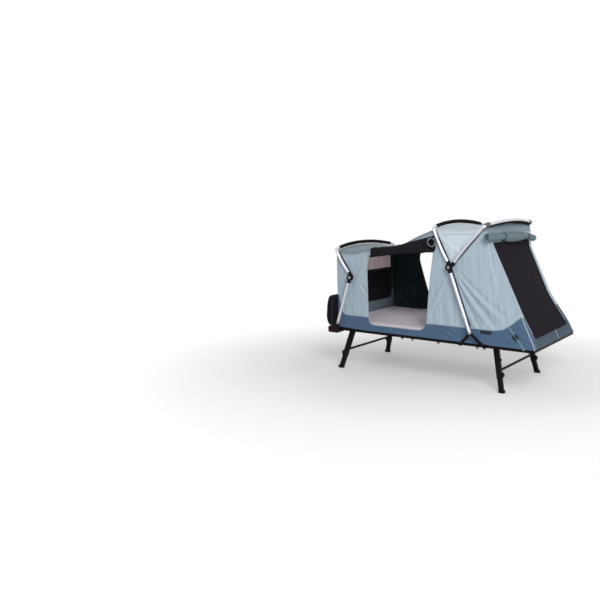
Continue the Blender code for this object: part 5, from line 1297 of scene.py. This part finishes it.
def travel_cover():
    """Two folded pads side by side, with bound edges at their ends, and two straps round them."""

    def smooth(shape):
        spots = [(-COVER_DEEP * u, COVER_FOOT + COVER_HIGH * v) for u, v in shape + shape[:1]]
        return curve_2d(spots, 5)[:-1]

    notch = COVER_SHAPE.index((0.517, 0.863))
    inner = [*COVER_SHAPE[:notch], (0.500, 0.863), (0.560, 0.500), (0.580, 0.150), (0.560, 0.0)]
    outer = [(0.535, 0.863), *COVER_SHAPE[notch + 1 :], (0.640, 0.0), (0.620, 0.150), (0.600, 0.500)]
    bm, edging = bmesh.new(), bmesh.new()
    ends = [0.0, 0.04, 0.10, 0.25, 0.45, 0.7, 1.0]
    places = [-COVER_HALF + COVER_ROUND * e for e in ends]
    places += [-0.59 + 1.18 * k / 56 for k in range(1, 56)]
    places += [COVER_HALF - COVER_ROUND * e for e in reversed(ends)]
    for shape, centre in ((inner, (-0.050, 0.660)), (outer, (-0.135, 0.660))):
        loops = []
        for y in places:
            out = min(1.0, (COVER_HALF - abs(y)) / COVER_ROUND)
            size = 0.80 + 0.20 * sqrt(max(0.0, 1 - (1 - out) ** 2))
            held = min(abs(abs(y) - STRAP_Y) / 0.05, 1.0)
            loop = []
            for s, z in smooth(shape):
                wave = 0.006 * noise.noise(Vector((y * 5.0, s * 14, z * 9)))
                wave += 0.004 * noise.noise(Vector((y * 2.0 + z * 9, s * 30, z * 26)))
                wave += 0.003 * noise.noise(Vector((y * 22, s * 20, z * 6)))
                wave = wave * (0.4 + 0.6 * held) - 0.004 * (1 - held)
                reach = Vector((s - centre[0], z - centre[1]))
                new = Vector(centre) + Vector((reach.x * size, reach.y * (1 + size) / 2))
                new += reach.normalized() * (wave - 0.003)
                loop.append(at(min(new.x, -0.0008), y, new.y))
            loops.append(loop)
        skin(bm, loops)
        for index in (ends.index(0.25), len(places) - 1 - ends.index(0.25)):
            pipe(edging, loops[index] + loops[index][:1], 0.0035, 8)
    made = add("travel_cover_cloth", bm, [COVER], 60, node="travel_cover")
    add("travel_cover_edging", edging, [GREY_LINING], 60)
    bm = bmesh.new()
    middle = (-0.080, 0.660)
    whole = smooth(COVER_SHAPE)
    for sign in (-1, 1):
        path, normals = [], []
        for s, z in whole + whole[:1]:
            reach = Vector((s - middle[0], z - middle[1])).normalized()
            path.append(at(min(s + reach.x * 0.001, -0.0005), sign * STRAP_Y, z + reach.y * 0.001))
            normals.append(Vector((reach.x, 0, reach.y)))
        ribbon(bm, path, normals, 0.025, 0.0018)
    add("travel_cover_straps", bm, [BLACK_TAPE], 50)


travel_cover()


# Poles, hoops and hubs


def collar(bm, start, end, radius, lip=0.0015):
    """A moulded socket round a tube's end."""
    start, end = Vector(start), Vector(end)
    length = (end - start).length
    profile = [(radius - 0.003, 0), (radius, 0.002), (radius, length - 0.010)]
    profile += [(radius + lip, length - 0.008), (radius + lip, length - 0.001), (radius - 0.002, length)]
    lathe(bm, start, end - start, profile)


def toward(start, end, reach, y):
    angle = atan2(end[1] - start[1], end[0] - start[0])
    return at(start[0] + reach * cos(angle), y, start[1] + reach * sin(angle))


def sleeve_loop(point, side, other, full):
    """One loop of a hoop's sleeve, which is wavy where it is full."""

    def reach(a):
        wave = noise.noise(Vector((point.y * 16, cos(a) * 1.4, sin(a) * 1.4)))
        return POLE_RADIUS + 0.0022 + 0.0016 * full * (1 + wave)

    return ring(point, side, other, reach, 24)


HOOPS = (
    ("hitch_hoop", HITCH_HUB, HITCH_CORNER, HITCH_RISE),
    ("middle_hoop", OUTER_HUB, MIDDLE_CORNER, MIDDLE_RISE),
    ("outer_hoop", OUTER_HUB, OUTER_CORNER, OUTER_RISE),
)
for name, hub, corner, rise in HOOPS:
    body = f"{name}_body"
    path = hoop_line(hub, corner, rise)
    bm = bmesh.new()
    pipe(bm, path, POLE_RADIUS, 24)
    add(f"{name}_tube", bm, [SILVER], 50, body, name)
    bm = bmesh.new()
    for side, sign in SIDES:
        collar(bm, *[toward(hub, corner, reach, sign * HOOP_PLANE) for reach in (0.020, 0.066)], 0.0195)
    add(f"{name}_sockets", bm, [PLASTIC], body=body)
    sleeve = [p for p in path if abs(p.y) <= 0.615]
    bm = bmesh.new()
    if name == "outer_hoop":
        # Only a band under the bare arch, between two corner blocks.
        pipe(bm, [p + Vector((-0.003, 0, -0.011)) for p in sleeve], 0.0190, 20)
        for side, sign in SIDES:
            # The corner blocks are dark caps whose grey is painted highlight.
            part = [p for p in path if 0.580 < p.y * sign < 0.656 and p.z > corner[1] - 0.055]
            pipe(bm, [p + Vector((0, 0, 0.002)) for p in part], 0.0245, 20, 1)
    else:
        last = len(sleeve) - 1
        loops = []
        for k, (point, _, side, other) in enumerate(frames(sleeve)):
            full = min(1.0, 6 * min(k / last, 1 - k / last))
            loops.append(sleeve_loop(point, side, other, full))
        skin(bm, loops)
    add(f"{name}_sleeve_cloth", bm, [SLEEVE, CORNER], 50, body, f"{name}_sleeve")

HUB_DISC = [(0, 0), (0.034, 0), (0.0358, 0.002), (0.036, 0.004), (0.036, 0.029), (0.0345, 0.032)]
HUB_DISC += [(0.030, 0.0335), (0.026, 0.0335), (0.0245, 0.0315), (0.019, 0.0315), (0, 0.0315)]
HUB_RIB = [(0, 0), (0.0022, 0.001), (0.0022, 0.019), (0, 0.020)]
HUB_WASHER = [(0.0085, 0), (0.0130, 0), (0.0130, 0.0018), (0.0085, 0.0018)]
# The plug in a pole's foot, which it turns on, and the cap on the pole's end
FOOT_PLUG = [(0, 0), (0.0125, 0), (0.0150, 0.002), (0.0150, 0.008), (0, 0.008)]
FOOT_CAP = [(0.0165, 0), (0.0165, 0.004), (0.012, 0.007), (0, 0.007)]
POLES = (
    ("hitch", HITCH_BASE, HITCH_HUB, "hitch_poles"),
    ("outer", OUTER_BASE, OUTER_HUB, "outer_poles"),
)
for end, base, hub, body in POLES:
    length = sqrt((hub[0] - base[0]) ** 2 + (hub[1] - base[1]) ** 2)
    for side, sign in SIDES:
        y = sign * POLE_PLANE
        out = Vector((0, sign, 0))
        bm = bmesh.new()
        line = [toward(base, hub, -0.006 + (length + 0.006 - 0.02) * k / 6, y) for k in range(7)]
        pipe(bm, line, POLE_RADIUS, 24)
        add(f"{end}_pole_{side}_tube", bm, [SILVER], 50, body, f"{end}_pole_{side}")
        bm = bmesh.new()
        collar(bm, toward(base, hub, length - 0.020, y), toward(base, hub, length - 0.064, y), 0.0205, 0.002)
        axis = at(hub[0], sign * (POLE_PLANE - 0.0165), hub[1])
        lathe(bm, axis, out, HUB_DISC, 40)
        for k in range(10):
            a = 2 * pi * k / 10
            spot = axis + Vector((cos(a) * 0.0358, 0, sin(a) * 0.0358)) + out * 0.006
            lathe(bm, spot, out, HUB_RIB, 8)
        add(f"{end}_hub_{side}_cap", bm, [PLASTIC], 40, body, f"{end}_hub_{side}")
        bm = bmesh.new()
        lathe(bm, axis + out * 0.0312, out, HUB_WASHER, 30)
        bolt(bm, axis + out * 0.0316, out, 0.0055)
        add(f"{end}_hub_{side}_bolt", bm, [STEEL], body=body)
        bm = bmesh.new()
        lathe(bm, at(base[0], y + sign * 0.0135, base[1]), out, FOOT_PLUG)
        foot = toward(base, hub, -0.005, y)
        lathe(bm, foot, foot - toward(base, hub, 0.1, y), FOOT_CAP)
        add(f"{end}_pole_{side}_plug", bm, [PLASTIC], body=body)
        bm = bmesh.new()
        bolt(bm, at(base[0], y + sign * 0.0212, base[1]), out, 0.0065)
        add(f"{end}_pole_{side}_bolt", bm, [STEEL], body=body)


# Webbing, piping and seams on the cloth


def on_wall(sign, points, lift=0.0):
    return [over_rail(on_side(sign)(s, z, lift)) for s, z in points]


def between(a, b, first, last, count=14):
    steps = [first + (last - first) * k / (count - 1) for k in range(count)]
    return [(a[0] + (b[0] - a[0]) * t, a[1] + (b[1] - a[1]) * t) for t in steps]


POLE_TAPES = (
    (HITCH_HUB, HITCH_CORNER, 0.022, 0.0, 0.94),
    (OUTER_BASE, OUTER_HUB, 0.012, 0.08, 1.0),
    (OUTER_HUB, MIDDLE_CORNER, 0.022, 0.0, 0.94),
    (OUTER_HUB, OUTER_CORNER, 0.024, 0.0, 0.92),
)
for side, sign in SIDES:
    out = Vector((0, sign, 0))
    rows = []
    for a, b, width, first, last in POLE_TAPES:
        rows.append((on_wall(sign, between(a, b, first, last), 0.0028), width, 0.0022))
    tapes(f"{side}_pole_webbing", [BLACK_TAPE], out, rows)
    rows = [(on_wall(sign, line, 0.0003), 0.009, 0.0012) for line in (LEFT_EDGE, RIGHT_EDGE)]
    rows.append((on_wall(sign, UNDER_DOOR, 0.0003), 0.009, 0.0012, 1))
    tapes(f"{side}_door_tape", [WALL_TAPE, SKIRT_TAPE], out, rows)
    rows = [(on_wall(sign, line, 0.0003), 0.011, 0.0012) for line in (BEFORE[1:], AFTER)]
    tapes(f"{side}_skirt_seam", [SKIRT_TAPE], out, rows)
    bm = bmesh.new()
    pipe(bm, on_wall(sign, [(s, wall_height(s) + 0.001) for s in upper], 0.001), 0.0032, 8)
    top = outer_edge(CLOTH)[1] - 0.02
    for low, high, mark in ((0.493, 0.80, 0), (0.80, top, int(sign < 0))):
        line = [(lean(max(z, TOP)) + 0.001, z) for z in np.linspace(low, high, 24)]
        pipe(bm, on_wall(sign, line), 0.0036, 8, mark)
    line = [(hitch_station(CLOTH, z), z) for z in np.linspace(0.875, 1.33, 24)]
    pipe(bm, on_wall(sign, line), 0.0028, 8)
    strip(f"{side}_edge_piping", bm, [PIPING, WALL], 60)

# The window's piping takes the band's painted shade below this height.
BAND_TOP = 0.63
line = spaced(OUTER_HOLE, 0.02)
first = next(k for k in range(len(line)) if line[k][1] >= BAND_TOP > line[k - 1][1])
line = line[first:] + line[: first + 1]
upper_part = [p for p in line[:-1] if p[1] >= BAND_TOP]
lower_part = [upper_part[-1], *[p for p in line if p[1] < BAND_TOP], upper_part[0]]
bm = bmesh.new()
for part, mark in ((upper_part, 0), (lower_part, 1)):
    pipe(bm, [on_outer(u, v, 0.0016) for u, v in part], 0.0026, 8, mark)
strip("outer_window_piping", bm, [WALL, BAND_PAINTED_SHADE], 60)
line = [over_rail(on_outer(0.12, z, 0.002)) for z in np.linspace(0.590, 0.500, 8)]
tapes("outer_window_tab", [PIPING], WALL_OUT, [(line, 0.010, 0.0016)])
line = [on_hitch(u, v, 0.0012) for u, v in spaced(HITCH_HOLE, 0.03)]
tapes("hitch_window_tape", [WALL_TAPE], Vector((-1, 0, 0)), [(line + line[:1], 0.016, 0.0014)])


# Corner straps

STRAP_TOP, STRAP_BOTTOM = (2.018, 0.702), (2.166, 0.5195)
STRAP_END = (2.190, 0.490)
for side, sign in SIDES:
    out = Vector((0, sign, 0))
    rows = [(on_wall(sign, between(STRAP_TOP, STRAP_END, 0.0, 1.0, 22), 0.006), 0.025, 0.0022)]
    rows.append((on_wall(sign, between(STRAP_TOP, STRAP_BOTTOM, 0.36, 0.70, 8), 0.009), 0.025, 0.0022))
    tapes(f"{side}_corner_webbing", [BLUE_TAPE], out, rows, f"{side}_corner_strap")
    ahead = Vector((STRAP_BOTTOM[0] - STRAP_TOP[0], 0, STRAP_BOTTOM[1] - STRAP_TOP[1])).normalized()
    middle = on_wall(sign, between(STRAP_TOP, STRAP_BOTTOM, 0.52, 0.52, 2)[:1], 0.009)[0]
    turn = Matrix((ahead, out.cross(ahead), out)).transposed().to_4x4()
    place = Matrix.Translation(middle) @ turn
    bm = bmesh.new()
    for k in (-1, 1):
        low, high = (-0.025, k * 0.0185 - 0.0030, -0.001), (0.025, k * 0.0185 + 0.0030, 0.0078)
        block(bm, low, high, 0.0014, place)
    for u, lift in ((-0.0225, 0), (-0.008, 0.0025), (0.007, 0.0025), (0.0225, 0)):
        block(bm, (u - 0.0031, -0.019, lift), (u + 0.0031, 0.019, 0.0055 + lift), 0.001, place)
    strip(f"{side}_strap_buckle", bm, [PLASTIC], 40)

bm = bmesh.new()
place = Matrix.Translation(at(1.786, -CLOTH - 0.0062, 0.6235))
block(bm, (-0.056, -0.0007, -0.0160), (0.056, 0.0030, 0.0160), 0.0006, place)
strip("skirt_patch", bm, [LINING], smooth=40)


# Frame

CAD_LOOKS = dict.fromkeys(("rail", "beam", "bracket", "leg_frame", "foot", "tube", "shank"), FRAME_BLACK)
CAD_LOOKS |= {"knob": PLASTIC, "floor_panel": FLOOR_BOARD, "lamp": LENS, "pin": STEEL}
ROUNDED = ("rail", "beam", "bracket", "leg_frame", "foot", "knob", "shank")
for name, node in NODES.items():
    for part, look in CAD_LOOKS.items():
        if part in name:
            for slot in node.material_slots:
                slot.material = look.made
    if any(part in name for part in ROUNDED):
        step = node.modifiers.new("edges", "BEVEL")
        step.width, step.segments, step.limit_method = 0.0022, 2, "ANGLE"
        step.angle_limit = radians(40)
        step.harden_normals = True


def rail_block(bm, sign, ends, depths, heights, bevel):
    """A box on a side rail. depths are outward from the rail's face."""
    low, high = sorted(sign * (HALF_WIDTH + depth) for depth in depths)
    block(bm, at(ends[0], low, heights[0]), at(ends[1], high, heights[1]), bevel)


RAIL_BOLTS = (0.11, 0.42, 0.72, 1.02, 1.32, 1.52, 1.99, 2.20)
RAIL_HOOKS = (0.837, 0.959, 1.264, 1.697, 1.772)
HOOK = ((-0.004, -0.004), (-0.004, -0.012), (0.000, -0.019))
HOOK += ((0.007, -0.021), (0.013, -0.016), (0.014, -0.008))
for side, sign in SIDES:
    bm = bmesh.new()
    heights = (RAIL_BOTTOM + 0.0005, RAIL_BOTTOM + 0.0065)
    rail_block(bm, sign, (0.012, LENGTH - 0.012), (-0.001, 0.0042), heights, 0.0014)
    for s in RAIL_BOLTS:
        bolt(bm, at(s, sign * HALF_WIDTH, 0.480), Vector((0, sign, 0)), 0.0036)
    for s0, s1, top in ((-0.0022, 0.030, TOP - 0.001), (LENGTH - 0.030, LENGTH + 0.0022, LAST_FOOT)):
        rail_block(bm, sign, (s0, s1), (-0.032, 0.0030), (RAIL_BOTTOM - 0.0015, top), 0.005)
    add(f"{side}_rail_trim", bm, [TRIM])
    bm = bmesh.new()
    for s in RAIL_HOOKS:
        heights = (RAIL_BOTTOM - 0.008, RAIL_BOTTOM)
        rail_block(bm, sign, (s - 0.010, s + 0.014), (-0.018, -0.002), heights, 0.002)
        path = [at(s + u, sign * (HALF_WIDTH - 0.009), RAIL_BOTTOM + v) for u, v in HOOK]
        pipe(bm, curve_through(path, 3), 0.0036, 8)
    add(f"{side}_rail_hooks", bm, [FRAME_BLACK], 60)


# Star knobs on the clamps

STAR = ((0.012, -0.020), (0.024, -0.017), (0.0265, -0.013), (0.0265, -0.006))
STAR += ((0.0245, -0.001), (0.018, 0.001), (0.012, -0.001), (0.004, -0.001))


def lobed(radius):
    """Six lobes where the knob is wide."""
    depth = 0.09 if radius > 0.02 else 0.0
    return lambda a: radius * (1 - depth * (1 - cos(6 * a)) / 2)


for joint in frame["record"]["behaviour"]["joints"]:
    if joint["name"].endswith("_knob_turn"):
        node = NODES[joint["name"][: -len("_turn")]]
        axis, start = Vector(joint["axis"]).normalized(), Vector(joint["pos_m"])
        heights = [(vert.co - start).dot(axis) for vert in node.data.vertices]
        top = max(heights)
        side = axis.orthogonal().normalized()
        other = axis.cross(side)
        bm = bmesh.new()
        skin(bm, [ring(start + axis * (top + h), side, other, lobed(r), 48) for r, h in STAR])
        pipe(bm, [start + axis * h for h in (min(heights), top - 0.016)], 0.005)
        add(f"{node.name}_star", bm, [PLASTIC], 40, joint["child"], node.name)


# Camera, lights and floor

camera_data = bpy.data.cameras.new("camera")
camera_data.lens, camera_data.sensor_width = 43.2, 36.0
camera = bpy.data.objects.new("camera", camera_data)
camera.location = (3.513, -7.536, 1.931)
camera.rotation_euler = (radians(90 - 7.76), 0, radians(36.23))
bpy.context.collection.objects.link(camera)
bpy.context.scene.camera = camera


def lamp(name, place, target, size, power):
    data = bpy.data.lights.new(name, "AREA")
    data.energy, data.size = power, size
    made = bpy.data.objects.new(name, data)
    made.location = place
    made.rotation_euler = (Vector(target) - Vector(place)).to_track_quat("-Z", "Y").to_euler()
    made.visible_camera = False
    bpy.context.collection.objects.link(made)


lamp("key", (4.2, -5.6, 4.4), (0.0, 0.0, 0.9), 3.0, 345)
lamp("side", (7.0, 1.0, 3.0), (0.5, 0.0, 0.9), 3.0, 90)
lamp("back", (-4.0, 5.5, 4.0), (0.0, 0.0, 0.9), 4.0, 80)
# What comes through the pale cloth
lamp("inner", (-0.25, -0.10, 1.22), (-0.75, 0.15, 0.75), 0.5, 1.1)

# The backdrop is white for what sees it, and lights the tent less.
world = bpy.data.worlds.new("studio")
bpy.context.scene.world = world
world.use_nodes = True
sky = Tree(world.node_tree)
sky.tree.nodes.clear()
links = {0: sky.sight()}
for n, strength in ((1, 0.41), (2, 1.0)):
    links[n] = sky.node("ShaderNodeBackground", Color=(1, 1, 1, 1), Strength=strength).outputs[0]
sky.node("ShaderNodeOutputWorld", {"Surface": sky.node("ShaderNodeMixShader", links).outputs[0]})

floor_mesh = bpy.data.meshes.new("floor")
floor_mesh.from_pydata([(-30, -30, 0), (30, -30, 0), (30, 30, 0), (-30, 30, 0)], [], [(0, 1, 2, 3)])
floor = bpy.data.objects.new("floor", floor_mesh)
bpy.context.collection.objects.link(floor)
ground = Look("floor", (0.90, 0.90, 0.90), 0.95, Specular_IOR_Level=0.1)
ground.mottle(3.0, 0.01)
# Further off, the floor turns into the white backdrop for what sees it, and lights nothing.
far = ground.node("ShaderNodeVectorMath", {0: ground.place}, {"operation": "LENGTH"}).outputs["Value"]
far = ground.node("ShaderNodeMapRange", {"Value": far}, From_Min=1.6, From_Max=3.4, To_Min=0.25, To_Max=1.0)
share = ground.maths(far.outputs[0], ground.sight(), "MULTIPLY", True)
glow = ground.node("ShaderNodeEmission", Color=(1, 1, 1, 1), Strength=1.0)
links = {0: share, 1: ground.shader.outputs[0], 2: glow.outputs[0]}
blended = ground.node("ShaderNodeMixShader", links)
ground.tree.links.new(blended.outputs[0], ground.tree.nodes["Material Output"].inputs["Surface"])
floor_mesh.materials.append(ground.made)

bpy.context.scene.view_settings.view_transform = "Standard"
